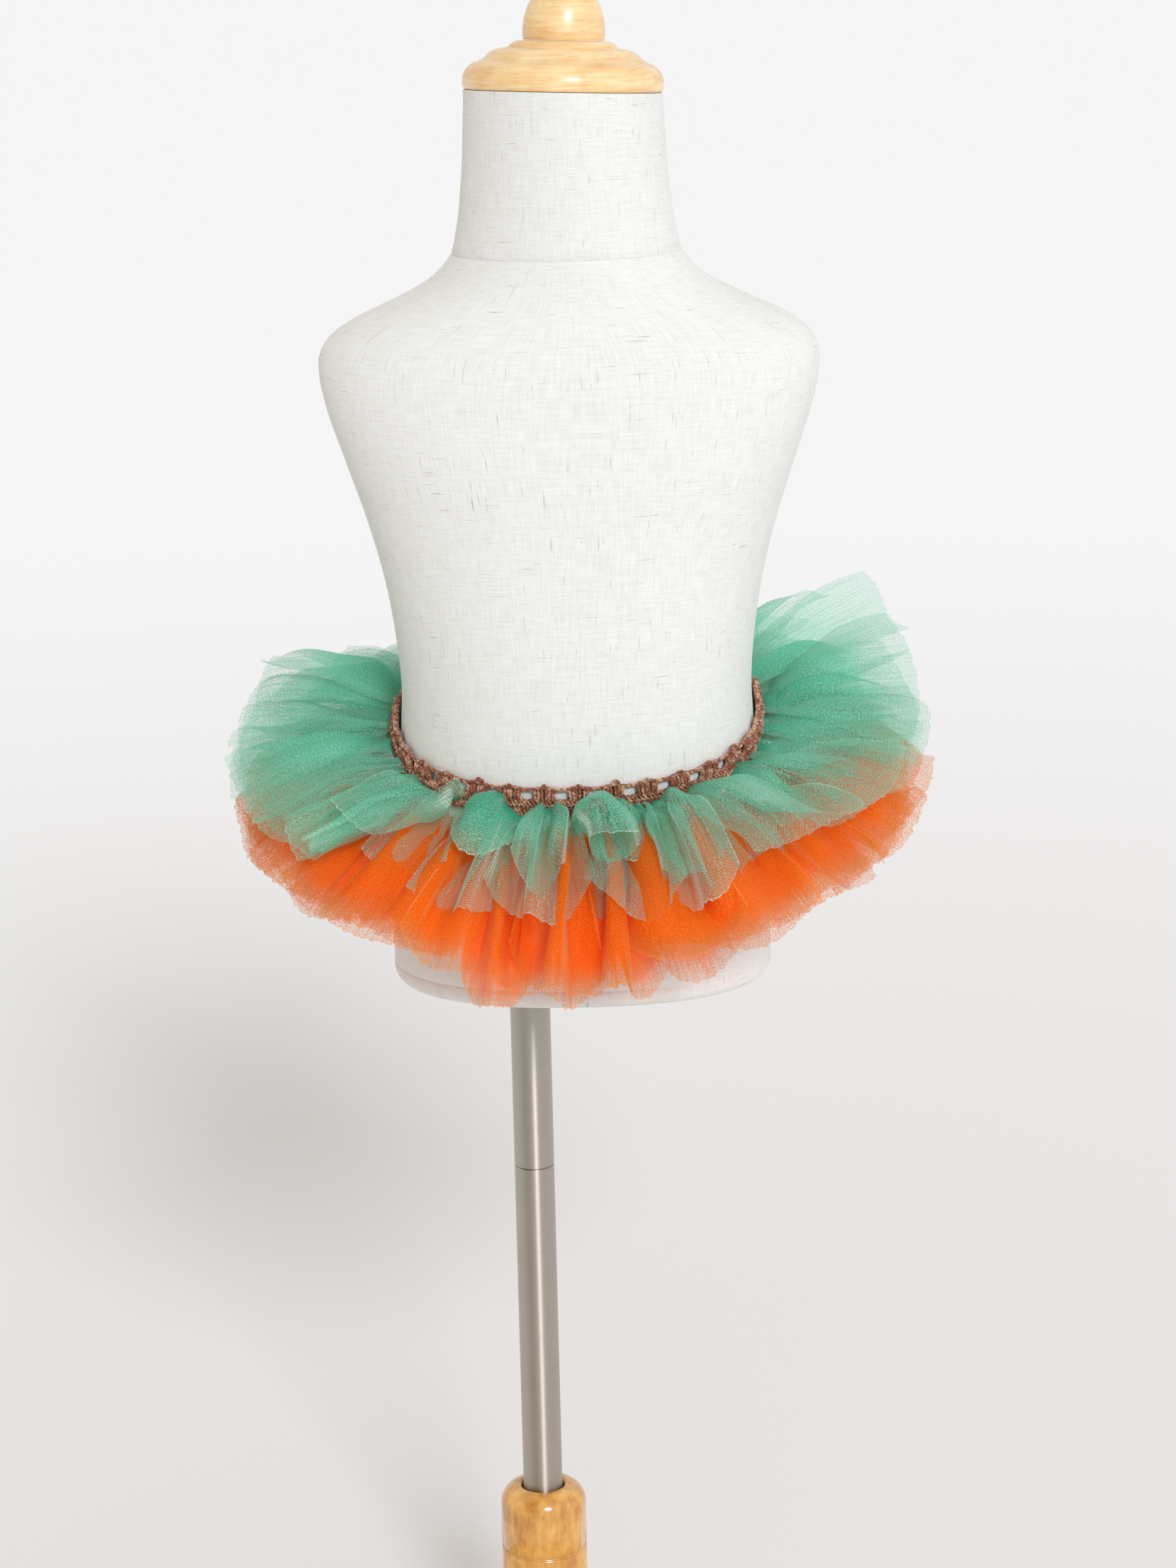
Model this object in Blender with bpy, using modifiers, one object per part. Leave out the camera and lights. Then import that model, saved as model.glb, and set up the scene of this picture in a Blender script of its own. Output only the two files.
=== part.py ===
"""Child's tulle tutu skirt worn on a small limbless dress form with a round-based stand.

Metres, +Z up. The origin is the centre of the base's underside, on the pole's axis.
The front of the form faces -Y and its left-to-right width lies along X.
"""

import math
import random

import bmesh
import bpy
import numpy as np
from mathutils import Euler, Vector

# Driving dimensions of the stand
BASE_RADIUS = 0.140
BASE_THICKNESS = 0.022
HUB_RADIUS = 0.0236
HUB_TOP = 0.150
HUB_HOLE_RADIUS = 0.0119
HUB_HOLE_DEPTH = 0.040
HUB_GROOVE_HEIGHT = 0.114
POLE_RADIUS = 0.0108
POLE_JOINT_HEIGHT = 0.338
FLANGE_RADIUS = 0.026
FLANGE_THICKNESS = 0.005
SEAT_GAP = 0.0003

# Driving dimensions of the form
TORSO_OFFSET_X = 0.029
TORSO_BOTTOM = 0.449
TORSO_COLUMNS = 44
TORSO_BASE_ROUNDING = 0.007
NECK_HEIGHT = 0.4625
NECK_LEAN_BACK = 2.6
NECK_LEAN_RIGHT = 2.2

# Driving dimensions of the crochet waistband
BAND_SIDE_HEIGHT = 0.138
BAND_FORWARD_TILT = 0.31
BAND_SIDE_ROLL = 0.02
BAND_WIDTH = 0.016
BAND_THICKNESS = 0.0022
BAND_TORSO_GAP = 0.0006
BAND_RELIEF = 0.0008
BAND_REPEATS = 32
BAND_COLUMNS_PER_REPEAT = 3
BAND_HOLE_WIDTH = 0.0066
BAND_HOLE_HEIGHT = 0.0048
BAND_HOLE_RISE = 0.0032
BAND_SPLIT_GAP = 0.0004

# Driving dimensions of the tulle strips
STRIPS_PER_COLOUR = 24
STRIP_ROOT_HALF_WIDTH = 0.0070
STRIP_SEAT_GAP = 0.0004
STRIP_ROOT_THICKNESS = 0.0030
STRIP_HEM_THICKNESS = 0.0019
STRIP_WAVES = 2.5
STRIP_COLUMNS = 11
STRIP_STATIONS = (0.0, 0.16, 0.5, 1.0)
HEM_WAVE_HEIGHT = 0.0075
GREEN_ROOT_DROP = 0.0008
ORANGE_ROOT_DROP = 0.0060
STRIP_SEED = 11

# Torso sections: height above the underside, half width, depth to the front, depth to
# the back and the squareness of the rounded outline (2 is an ellipse).
TORSO_SECTIONS = (
    ("height", "half_width", "front", "back", "squareness"),
    (0.007, 0.1005, 0.0780, 0.0770, 2.35),
    (0.050, 0.1000, 0.0800, 0.0815, 2.35),
    (0.095, 0.0965, 0.0810, 0.0770, 2.30),
    (0.130, 0.0934, 0.0805, 0.0700, 2.30),
    (0.157, 0.0918, 0.0790, 0.0655, 2.30),
    (0.188, 0.0942, 0.0770, 0.0640, 2.30),
    (0.218, 0.0992, 0.0745, 0.0655, 2.30),
    (0.248, 0.1071, 0.0725, 0.0680, 2.30),
    (0.278, 0.1168, 0.0705, 0.0695, 2.35),
    (0.307, 0.1259, 0.0665, 0.0685, 2.35),
    (0.322, 0.1286, 0.0640, 0.0640, 2.30),
    (0.334, 0.1276, 0.0600, 0.0610, 2.25),
    (0.343, 0.1210, 0.0570, 0.0590, 2.15),
    (0.351, 0.1083, 0.0545, 0.0570, 2.05),
    (0.359, 0.0905, 0.0530, 0.0555, 2.00),
    (0.367, 0.0745, 0.0522, 0.0545, 2.00),
    (0.380, 0.0605, 0.0515, 0.0532, 2.00),
    (0.395, 0.0560, 0.0512, 0.0522, 2.00),
    (0.415, 0.0533, 0.0510, 0.0515, 2.00),
    (0.458, 0.0506, 0.0506, 0.0506, 2.00),
)

# How the skirt stands out round the waist: the azimuth (0 is +X, 270 is the front), and
# for each colour the slope of the strips at the waist and at the hem in degrees (up is
# positive), their length, and the share of its pitch that a green strip fills.
SKIRT_STANCE = (
    ("azimuth", "green_root", "green_hem", "green_length",
     "orange_root", "orange_hem", "orange_length", "green_fill"),
    (0.0, 4.0, -16.0, 0.092, -8.0, -30.0, 0.096, 0.97),
    (20.0, 17.0, 0.0, 0.102, -5.0, -23.0, 0.097, 0.97),
    (40.0, 25.0, 9.0, 0.106, -2.0, -18.0, 0.098, 0.97),
    (75.0, 17.0, 0.0, 0.100, -4.0, -21.0, 0.098, 0.97),
    (105.0, 14.0, -4.0, 0.098, -5.0, -23.0, 0.098, 0.97),
    (140.0, 9.0, -10.0, 0.095, -8.0, -27.0, 0.096, 0.97),
    (180.0, 2.0, -20.0, 0.088, -12.0, -34.0, 0.093, 0.97),
    (225.0, 2.0, -28.0, 0.095, -19.0, -45.0, 0.100, 0.94),
    (270.0, 3.0, -40.0, 0.098, -25.0, -53.0, 0.106, 0.88),
    (315.0, 3.0, -30.0, 0.097, -17.0, -43.0, 0.101, 0.92),
    (360.0, 4.0, -16.0, 0.092, -8.0, -30.0, 0.096, 0.97),
)


def clear_scene():
    for old in list(bpy.data.objects):
        bpy.data.objects.remove(old)


def new_collection(name, hidden=False):
    made = bpy.data.collections.new(name)
    bpy.context.scene.collection.children.link(made)
    made.hide_render = hidden
    return made


def new_material(name, colour, roughness, metallic=0.0):
    material = bpy.data.materials.new(name)
    material.use_nodes = True
    shader = material.node_tree.nodes["Principled BSDF"]
    shader.inputs["Base Color"].default_value = (*colour, 1.0)
    shader.inputs["Roughness"].default_value = roughness
    shader.inputs["Metallic"].default_value = metallic
    return material


def place(name, mesh, material, collection, smooth_angle=None):
    mesh.materials.append(material)
    if smooth_angle is not None:
        mesh.shade_smooth()
        mesh.set_sharp_from_angle(angle=math.radians(smooth_angle))
    obj = bpy.data.objects.new(name, mesh)
    collection.objects.link(obj)
    return obj


def turned(name, profile, material, collection, foot=(0.0, 0.0, 0.0), segments=32, ring=False):
    """A turned piece: the profile (radius, height) runs down the outer side, top to bottom.
    Heights are above foot. A ring's profile is a closed loop that stays off the axis."""
    mesh = bpy.data.meshes.new(name)
    points = [(radius, 0.0, height) for radius, height in profile]
    edges = [(i, i + 1) for i in range(len(points) - 1)]
    if ring:
        edges.append((len(points) - 1, 0))
    mesh.from_pydata(points, edges, [])
    obj = place(name, mesh, material, collection)
    obj.location = foot
    screw = obj.modifiers.new("Turn", "SCREW")
    screw.steps = segments
    screw.render_steps = segments
    screw.use_merge_vertices = True
    screw.merge_threshold = 0.00005
    screw.use_smooth_shade = True
    return obj


def arc_points(centre, radius, start_deg, end_deg, count):
    """Points on an arc in the (radius, height) plane of a turned profile."""
    found = []
    for i in range(count):
        angle = math.radians(start_deg + (end_deg - start_deg) * i / (count - 1))
        found.append((centre[0] + radius * math.cos(angle), centre[1] + radius * math.sin(angle)))
    return found


def column(table, name):
    """One named column of a table whose first row holds the names."""
    where = table[0].index(name)
    return np.array([row[where] for row in table[1:]])


def torso_measure(name, height):
    """A torso size at a height, on a smooth curve through the table's rows."""
    heights = column(TORSO_SECTIONS, "height")
    values = column(TORSO_SECTIONS, name)
    slopes = np.gradient(values, heights)
    height = min(max(height, heights[0]), heights[-1])
    i = min(int(np.searchsorted(heights, height, side="right")) - 1, len(heights) - 2)
    span = heights[i + 1] - heights[i]
    s = (height - heights[i]) / span
    return (
        (1 + 2 * s) * (1 - s) ** 2 * values[i]
        + s * (1 - s) ** 2 * span * slopes[i]
        + s * s * (3 - 2 * s) * values[i + 1]
        + s * s * (s - 1) * span * slopes[i + 1]
    )


def torso_point(angle, height, inset=0.0):
    """A point of the form's surface: angle 0 is +X and height is above the underside."""
    half_width = torso_measure("half_width", height) - inset
    depth = torso_measure("back" if math.sin(angle) > 0 else "front", height) - inset
    power = 2.0 / torso_measure("squareness", height)
    x = half_width * math.copysign(abs(math.cos(angle)) ** power, math.cos(angle))
    y = depth * math.copysign(abs(math.sin(angle)) ** power, math.sin(angle))
    return Vector((TORSO_OFFSET_X + x, y, TORSO_BOTTOM + height))


def loft(rings, cap_ends=True):
    """A mesh through closed rings of equal length, bottom to top, each running anticlockwise."""
    count = len(rings[0])
    points = [tuple(p) for ring in rings for p in ring]
    faces = []
    for row in range(len(rings) - 1):
        for i in range(count):
            j = (i + 1) % count
            low, high = row * count, (row + 1) * count
            faces.append((low + i, low + j, high + j, high + i))
    if cap_ends:
        faces.append(tuple(reversed(range(count))))
        faces.append(tuple(range((len(rings) - 1) * count, len(rings) * count)))
    mesh = bpy.data.meshes.new("loft")
    mesh.from_pydata(points, [], faces)
    return mesh


def make_torso(material, collection):
    """The linen-covered torso and neck: sections joined from the flat underside to the cap."""
    rings = []
    angles = [2 * math.pi * i / TORSO_COLUMNS for i in range(TORSO_COLUMNS)]
    for step in (0.0, 0.35, 0.7):
        height = TORSO_BASE_ROUNDING * (1 - math.cos(step * math.pi / 2))
        inset = TORSO_BASE_ROUNDING * (1 - math.sin(step * math.pi / 2))
        ring = [torso_point(a, TORSO_BASE_ROUNDING, inset) for a in angles]
        for point in ring:
            point.z = TORSO_BOTTOM + height
        rings.append(ring)
    for height in column(TORSO_SECTIONS, "height"):
        rings.append([torso_point(a, height) for a in angles])
    lean = Euler((math.radians(-NECK_LEAN_BACK), math.radians(NECK_LEAN_RIGHT), 0.0)).to_matrix()
    top = Vector((TORSO_OFFSET_X, 0.0, TORSO_BOTTOM + NECK_HEIGHT))
    neck = torso_measure("half_width", NECK_HEIGHT)
    rings.append([top + lean @ Vector((neck * math.cos(a), neck * math.sin(a), 0.0)) for a in angles])
    mesh = loft(rings)
    mesh.name = "torso"
    return place("torso", mesh, material, collection, smooth_angle=50)


def make_wood_top(material, collection):
    """The turned wooden cap on the neck, with its two steps, and the knob on it."""
    foot = (TORSO_OFFSET_X, 0.0, TORSO_BOTTOM + NECK_HEIGHT)
    low = SEAT_GAP
    cap = [(0.0, 0.0247), (0.0225, 0.0247), (0.0283, 0.0232), (0.0286, 0.0218), (0.0365, 0.0192)]
    cap += [(0.0408, 0.0164), (0.0410, 0.0152), (0.0462, 0.0120), (0.0500, 0.0080), (0.0512, 0.0038)]
    cap += [(0.0504, 0.0), (0.0, 0.0)]
    high = low + cap[0][1] + SEAT_GAP
    knob_height, knob_radius, knob_foot = 0.0300, 0.0210, 0.0025
    knob = [(0.0, high + knob_height)]
    for step in range(1, 6):
        angle = math.radians(90 * (1 - step / 5))
        radius = knob_radius * math.cos(angle) ** 0.9
        knob.append((radius, high + knob_foot + (knob_height - knob_foot) * math.sin(angle)))
    knob += [(0.0203, high), (0.0, high)]
    pieces = (
        turned("neck_cap", [(r, low + h) for r, h in cap], material, collection, foot, 36),
        turned("neck_finial", knob, material, collection, foot, 28),
    )
    for piece in pieces:
        piece.rotation_euler = (math.radians(-NECK_LEAN_BACK), math.radians(NECK_LEAN_RIGHT), 0.0)


def make_stand(wood, steel, collection):
    """The round base, the turned hub, the two-length steel pole and the flange under the form."""
    top = BASE_THICKNESS
    base = [(0.0, top), (BASE_RADIUS - 0.018, top), (BASE_RADIUS - 0.012, top - 0.0025)]
    base += arc_points((BASE_RADIUS - 0.008, 0.0105), 0.008, 75, 0, 4)
    base += [(BASE_RADIUS, 0.002), (BASE_RADIUS - 0.002, 0.0), (0.0, 0.0)]
    turned("stand_base", base, wood, collection, segments=48)

    foot = BASE_THICKNESS + SEAT_GAP
    rim = 0.0105
    hub = [(HUB_HOLE_RADIUS, HUB_TOP - 0.001), (HUB_HOLE_RADIUS + 0.0012, HUB_TOP)]
    hub += arc_points((HUB_RADIUS - rim, HUB_TOP - rim), rim, 90, 0, 6)
    hub += [(HUB_RADIUS, HUB_GROOVE_HEIGHT + 0.0012), (HUB_RADIUS - 0.0012, HUB_GROOVE_HEIGHT)]
    hub += [(HUB_RADIUS, HUB_GROOVE_HEIGHT - 0.0012), (HUB_RADIUS, 0.058)]
    hub += [(HUB_RADIUS + 0.0022, 0.040), (0.0325, foot + 0.006), (0.0335, foot), (0.0, foot)]
    hub = [(0.0, HUB_TOP - HUB_HOLE_DEPTH), (HUB_HOLE_RADIUS, HUB_TOP - HUB_HOLE_DEPTH)] + hub
    turned("stand_hub", hub, wood, collection, segments=28)

    lengths = (
        ("pole_lower", HUB_TOP - HUB_HOLE_DEPTH + SEAT_GAP, POLE_JOINT_HEIGHT),
        ("pole_upper", POLE_JOINT_HEIGHT + SEAT_GAP, TORSO_BOTTOM - SEAT_GAP),
    )
    for name, low, high in lengths:
        bpy.ops.mesh.primitive_cylinder_add(vertices=24, radius=POLE_RADIUS, depth=high - low)
        pole = bpy.context.object
        pole.name = name
        pole.location = (0.0, 0.0, (low + high) / 2)
        pole.data.materials.append(steel)
        pole.data.shade_smooth()
        pole.data.set_sharp_from_angle(angle=math.radians(40))
        for holder in list(pole.users_collection):
            holder.objects.unlink(pole)
        collection.objects.link(pole)

    high = TORSO_BOTTOM - SEAT_GAP
    inner = POLE_RADIUS + SEAT_GAP
    flange = [(inner, high), (FLANGE_RADIUS, high), (FLANGE_RADIUS, high - FLANGE_THICKNESS)]
    flange += [(inner + 0.004, high - 2.4 * FLANGE_THICKNESS), (inner, high - 2.4 * FLANGE_THICKNESS)]
    turned("pole_flange", flange, steel, collection, segments=24, ring=True)


def band_height(point):
    """Height of the waistband's middle above the form's underside: it dips to the front."""
    return BAND_SIDE_HEIGHT + BAND_FORWARD_TILT * point.y + BAND_SIDE_ROLL * (point.x - TORSO_OFFSET_X)


def waist_point(angle, rise=0.0):
    """The form's surface under the waistband, rise above the band's middle."""
    flat = torso_point(angle, BAND_SIDE_HEIGHT)
    return torso_point(angle, band_height(flat) + rise)


def outward(angle, rise=0.0):
    """The level direction that points straight out of the form at the waistband."""
    step = 0.01
    along = waist_point(angle + step, rise) - waist_point(angle - step, rise)
    return Vector((along.y, -along.x, 0.0)).normalized()


class Waist:
    """The waistline measured along its own length, from the front, anticlockwise from above."""

    def __init__(self, samples=720):
        self.angles = np.linspace(-math.pi / 2, 1.5 * math.pi, samples + 1)
        points = np.array([waist_point(a) for a in self.angles])
        steps = np.linalg.norm(np.diff(points, axis=0), axis=1)
        self.lengths = np.concatenate([[0.0], np.cumsum(steps)])
        self.total = float(self.lengths[-1])

    def angle(self, length):
        turns = math.floor(length / self.total)
        inside = length - turns * self.total
        return float(np.interp(inside, self.lengths, self.angles)) + 2 * math.pi * turns


def band_profile(phase):
    """The band's cross-section, anticlockwise seen along the waist: distance from the form and
    rise above the band's middle. The stitch clusters between the holes stand out most."""
    half = BAND_WIDTH / 2
    inner = BAND_TORSO_GAP
    outer = inner + BAND_THICKNESS
    cluster = BAND_RELIEF * (0.5 - 0.5 * math.cos(phase))
    scallop = 0.0009 * (0.5 - 0.5 * math.cos(phase))
    return (
        (inner, -half),
        (outer + BAND_RELIEF, -half + 0.001),
        (outer + cluster * 0.5, -0.0012),
        (outer + cluster, BAND_HOLE_RISE),
        (outer + 0.0002, half - 0.0014 + scallop),
        (inner, half + scallop),
    )


def band_half(name, first, last, waist, material, collection):
    """Half of the waistband, from one hole repeat to another, as a swept wall."""
    columns = (last - first) * BAND_COLUMNS_PER_REPEAT
    pitch = waist.total / BAND_REPEATS
    sections = []
    for i in range(columns + 1):
        length = (first + i / BAND_COLUMNS_PER_REPEAT) * pitch
        if i == 0:
            length += BAND_SPLIT_GAP / 2
        if i == columns:
            length -= BAND_SPLIT_GAP / 2
        angle = waist.angle(length)
        phase = 2 * math.pi * (i % BAND_COLUMNS_PER_REPEAT) / BAND_COLUMNS_PER_REPEAT + math.pi
        section = []
        for distance, rise in band_profile(phase):
            section.append(waist_point(angle, rise) + outward(angle, rise) * distance)
        sections.append(section)
    mesh = loft(sections)
    mesh.name = name
    tidy = bmesh.new()
    tidy.from_mesh(mesh)
    bmesh.ops.recalc_face_normals(tidy, faces=tidy.faces)
    tidy.to_mesh(mesh)
    tidy.free()
    return place(name, mesh, material, collection, smooth_angle=40)


def hole_cutter(name, angle, collection):
    """An eight-sided plug the size of one crochet hole, pointing straight out of the form."""
    plug = bmesh.new()
    bmesh.ops.create_cone(plug, cap_ends=True, segments=8, radius1=0.5, radius2=0.5, depth=1.0)
    mesh = bpy.data.meshes.new(name)
    plug.to_mesh(mesh)
    plug.free()
    obj = bpy.data.objects.new(name, mesh)
    collection.objects.link(obj)
    obj.display_type = "WIRE"
    obj.hide_render = True
    obj.scale = (BAND_HOLE_WIDTH, BAND_HOLE_HEIGHT, 0.016)
    obj.location = waist_point(angle, BAND_HOLE_RISE) + outward(angle, BAND_HOLE_RISE) * BAND_THICKNESS
    obj.rotation_euler = outward(angle, BAND_HOLE_RISE).to_track_quat("Z", "Y").to_euler()
    return obj


def make_waistband(waist, material, collection):
    """The crochet band in two halves, each cut through by its row of stretched holes."""
    pitch = waist.total / BAND_REPEATS
    quarter = BAND_REPEATS // 4
    halves = (
        ("waistband_front", -quarter, quarter),
        ("waistband_back", quarter, 3 * quarter),
    )
    for name, first, last in halves:
        half = band_half(name, first, last, waist, material, collection)
        cutters = new_collection(name + "_cutters", hidden=True)
        for repeat in range(first, last):
            angle = waist.angle((repeat + 0.5) * pitch)
            hole_cutter(f"{name}_hole_{repeat - first:02d}", angle, cutters)
        cut = half.modifiers.new("Crochet holes", "BOOLEAN")
        cut.operation = "DIFFERENCE"
        cut.operand_type = "COLLECTION"
        cut.collection = cutters
        cut.solver = "EXACT"


def stance(name, azimuth):
    """A column of the skirt's stance at an azimuth in degrees, eased between the rows."""
    azimuths = column(SKIRT_STANCE, "azimuth")
    values = column(SKIRT_STANCE, name)
    azimuth %= 360.0
    i = min(int(np.searchsorted(azimuths, azimuth, side="right")) - 1, len(azimuths) - 2)
    s = (azimuth - azimuths[i]) / (azimuths[i + 1] - azimuths[i])
    s = s * s * (3 - 2 * s)
    return float(values[i] + (values[i + 1] - values[i]) * s)


def fall(root_slope, hem_slope, length, share):
    """How far out and up a strip has got at a share of its length, and its slope there.
    The slope changes evenly from the waist to the hem."""
    root, hem = math.radians(root_slope), math.radians(hem_slope)
    steps = 24
    out = up = 0.0
    for i in range(steps):
        slope = root + (hem - root) * share * (i + 0.5) / steps
        out += math.cos(slope) * length * share / steps
        up += math.sin(slope) * length * share / steps
    return out, up, root + (hem - root) * share


def strip_waves(rng):
    """The height of the wave at each column across a strip, 0 at the crossings."""
    heights = []
    for i in range(STRIP_COLUMNS):
        turn = math.sin(math.pi * STRIP_WAVES * 2 * i / (STRIP_COLUMNS - 1))
        heights.append(turn * rng.uniform(0.65, 1.2))
    return heights


def make_strip(name, colour, length_along, waist, rng, material, collection):
    """One gathered tulle strip: a wall that starts bunched at the band and fans out in waves."""
    pitch = waist.total / STRIPS_PER_COLOUR
    azimuth = math.degrees(waist.angle(length_along))
    root_slope = stance(colour + "_root", azimuth) + rng.uniform(-1.5, 1.5)
    hem_slope = stance(colour + "_hem", azimuth) + rng.uniform(-4.0, 4.0)
    length = stance(colour + "_length", azimuth) * rng.uniform(0.96, 1.04)
    fill = stance("green_fill", azimuth) if colour == "green" else 0.97
    drop = GREEN_ROOT_DROP if colour == "green" else ORANGE_ROOT_DROP
    waves = strip_waves(rng)
    skew = rng.uniform(-0.05, 0.05)
    upper, lower = [], []
    for share in STRIP_STATIONS:
        spread = min(1.0, share / 0.4) ** 0.8
        half_width = STRIP_ROOT_HALF_WIDTH + (pitch / 2 * fill - STRIP_ROOT_HALF_WIDTH) * spread
        thickness = STRIP_ROOT_THICKNESS + (STRIP_HEM_THICKNESS - STRIP_ROOT_THICKNESS) * spread
        for i in range(STRIP_COLUMNS):
            across = 2 * i / (STRIP_COLUMNS - 1) - 1
            at = share * (1 + skew * across * share - 0.05 * share * abs(waves[i]))
            out, up, slope = fall(root_slope, hem_slope, length, at)
            angle = waist.angle(length_along + across * half_width)
            level = outward(angle)
            wave = HEM_WAVE_HEIGHT * waves[i] * share ** 0.85
            seat = BAND_TORSO_GAP + BAND_THICKNESS + BAND_RELIEF + STRIP_SEAT_GAP
            point = waist_point(angle, -drop) + level * (seat + out)
            point.z += up
            normal = Vector((0, 0, 1)) * math.cos(slope) - level * math.sin(slope)
            upright = Vector((0, 0, 1))
            lean = normal * spread + upright * (1 - spread)
            lean.normalize()
            upper.append(point + lean * (wave + thickness / 2))
            lower.append(point + lean * (wave - thickness / 2))
    mesh = walled_panel(upper, lower, STRIP_COLUMNS, len(STRIP_STATIONS))
    mesh.name = name
    place(name, mesh, material, collection, smooth_angle=60)


def walled_panel(upper, lower, columns, rows):
    """A closed wall between two like grids of points, rows running away from the waist."""
    points = [tuple(p) for p in upper + lower]
    under = len(upper)
    faces = []
    for row in range(rows - 1):
        for i in range(columns - 1):
            a, b = row * columns + i, row * columns + i + 1
            c, d = b + columns, a + columns
            faces.append((a, d, c, b))
            faces.append((under + a, under + b, under + c, under + d))
    border = [i for i in range(columns)]
    border += [row * columns + columns - 1 for row in range(1, rows)]
    border += [(rows - 1) * columns + i for i in range(columns - 2, -1, -1)]
    border += [row * columns for row in range(rows - 2, 0, -1)]
    for a, b in zip(border, border[1:] + border[:1]):
        faces.append((a, b, under + b, under + a))
    mesh = bpy.data.meshes.new("panel")
    mesh.from_pydata(points, [], faces)
    tidy = bmesh.new()
    tidy.from_mesh(mesh)
    bmesh.ops.recalc_face_normals(tidy, faces=tidy.faces)
    tidy.to_mesh(mesh)
    tidy.free()
    return mesh


def make_skirt(waist, green, orange, collection):
    """Every strip of both colours, the orange ones half a pitch along and below the green."""
    rng = random.Random(STRIP_SEED)
    pitch = waist.total / STRIPS_PER_COLOUR
    for colour, material, shift in (("green", green, 0.0), ("orange", orange, 0.5)):
        for i in range(STRIPS_PER_COLOUR):
            make_strip(f"{colour}_strip_{i + 1:02d}", colour, (i + shift) * pitch, waist, rng,
                       material, collection)


def main():
    clear_scene()
    parts = new_collection("tutu_on_dress_form")
    linen = new_material("linen", (0.86, 0.84, 0.78), 0.85)
    wood = new_material("varnished_wood", (0.78, 0.52, 0.24), 0.35)
    steel = new_material("brushed_steel", (0.56, 0.54, 0.51), 0.30, 1.0)
    crochet = new_material("brown_crochet", (0.22, 0.08, 0.045), 0.80)
    green = new_material("green_tulle", (0.10, 0.42, 0.29), 0.70)
    orange = new_material("orange_tulle", (0.90, 0.23, 0.02), 0.70)
    waist = Waist()
    make_torso(linen, parts)
    make_wood_top(wood, parts)
    make_stand(wood, steel, parts)
    make_waistband(waist, crochet, parts)
    make_skirt(waist, green, orange, parts)


main()
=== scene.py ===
import math
import random

import bmesh
import bpy
import numpy as np
from mathutils import Euler, Matrix, Vector
from mathutils.bvhtree import BVHTree


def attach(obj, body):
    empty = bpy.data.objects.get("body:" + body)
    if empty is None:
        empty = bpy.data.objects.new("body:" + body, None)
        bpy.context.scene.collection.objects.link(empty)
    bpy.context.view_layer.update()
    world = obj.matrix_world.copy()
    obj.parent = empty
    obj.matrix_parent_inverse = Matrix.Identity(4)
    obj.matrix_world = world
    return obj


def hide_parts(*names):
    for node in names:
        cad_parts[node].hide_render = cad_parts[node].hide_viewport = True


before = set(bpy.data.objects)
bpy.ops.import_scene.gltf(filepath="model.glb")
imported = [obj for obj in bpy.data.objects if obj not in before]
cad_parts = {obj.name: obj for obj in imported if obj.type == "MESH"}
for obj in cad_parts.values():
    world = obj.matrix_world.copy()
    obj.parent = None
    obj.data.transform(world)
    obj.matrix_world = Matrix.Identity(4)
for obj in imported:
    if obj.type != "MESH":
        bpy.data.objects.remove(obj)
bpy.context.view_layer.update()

# Camera
# An 85 mm lens on a 36 mm wide sensor, held upright, 1.03 m above the floor and 1.9 m in
# front of the form, looking 14 degrees down and turned a little anticlockwise.
CAMERA_PLACE = Vector((0.0338, -1.8917, 1.0287))
CAMERA_PITCH = math.radians(14.2)
CAMERA_ROLL = math.radians(1.3)
CAMERA_LENS = 84.6
CAMERA_SENSOR_MM = 36


def add_object(name, data):
    """A new object in the scene, at the origin."""
    made = bpy.data.objects.new(name, data)
    bpy.context.scene.collection.objects.link(made)
    return made


ahead = Vector((0, math.cos(CAMERA_PITCH), -math.sin(CAMERA_PITCH)))
level_right = Vector((1, 0, 0))
level_up = level_right.cross(ahead)
lens_right = math.cos(CAMERA_ROLL) * level_right - math.sin(CAMERA_ROLL) * level_up
lens_up = math.sin(CAMERA_ROLL) * level_right + math.cos(CAMERA_ROLL) * level_up
camera_data = bpy.data.cameras.new("camera")
camera_data.lens = CAMERA_LENS
camera_data.sensor_width = CAMERA_SENSOR_MM
camera = add_object("camera", camera_data)
camera_turn = Matrix((lens_right, lens_up, -ahead)).transposed().to_4x4()
camera.matrix_world = Matrix.Translation(CAMERA_PLACE) @ camera_turn
bpy.context.scene.camera = camera

# Round base
# A plain disc of beech, turned with a rounded rim and varnished clear, that the hub is
# screwed to. It lies just below the picture, so it is finished plainly.
BASE_RADIUS = 0.140
BASE_THICKNESS = 0.022
BASE_RIM = 0.009
WOOD_PALE = "F2D09A"
WOOD_GRAIN = "D3A15F"
WOOD_CELL_MM = (60, 5, 4)
WOOD_PORE = "B98450"


def linear(hex_colour):
    """An sRGB hex colour as linear red, green, blue and full alpha."""
    parts = [int(hex_colour[i:i + 2], 16) / 255 for i in (0, 2, 4)]
    return [c / 12.92 if c <= 0.04045 else ((c + 0.055) / 1.055) ** 2.4 for c in parts] + [1.0]


def add_node(tree, kind, values=(), links=(), **settings):
    """One node: values go on its sockets, links feed its sockets, and settings are its own.
    A shader node's kind is given without its prefix. A link is a socket, or a node that
    stands for its first output."""
    node = tree.nodes.new(kind if "Node" in kind else "ShaderNode" + kind)
    for name, value in settings.items():
        setattr(node, name, value)
    for name, value in dict(values).items():
        node.inputs[name].default_value = value
    for name, feed in dict(links).items():
        tree.links.new(feed.outputs[0] if hasattr(feed, "outputs") else feed, node.inputs[name])
    return node


def start_material(name):
    """An empty node material and its tree."""
    material = bpy.data.materials.new(name)
    material.use_nodes = True
    material.node_tree.nodes.clear()
    return material, material.node_tree


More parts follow.
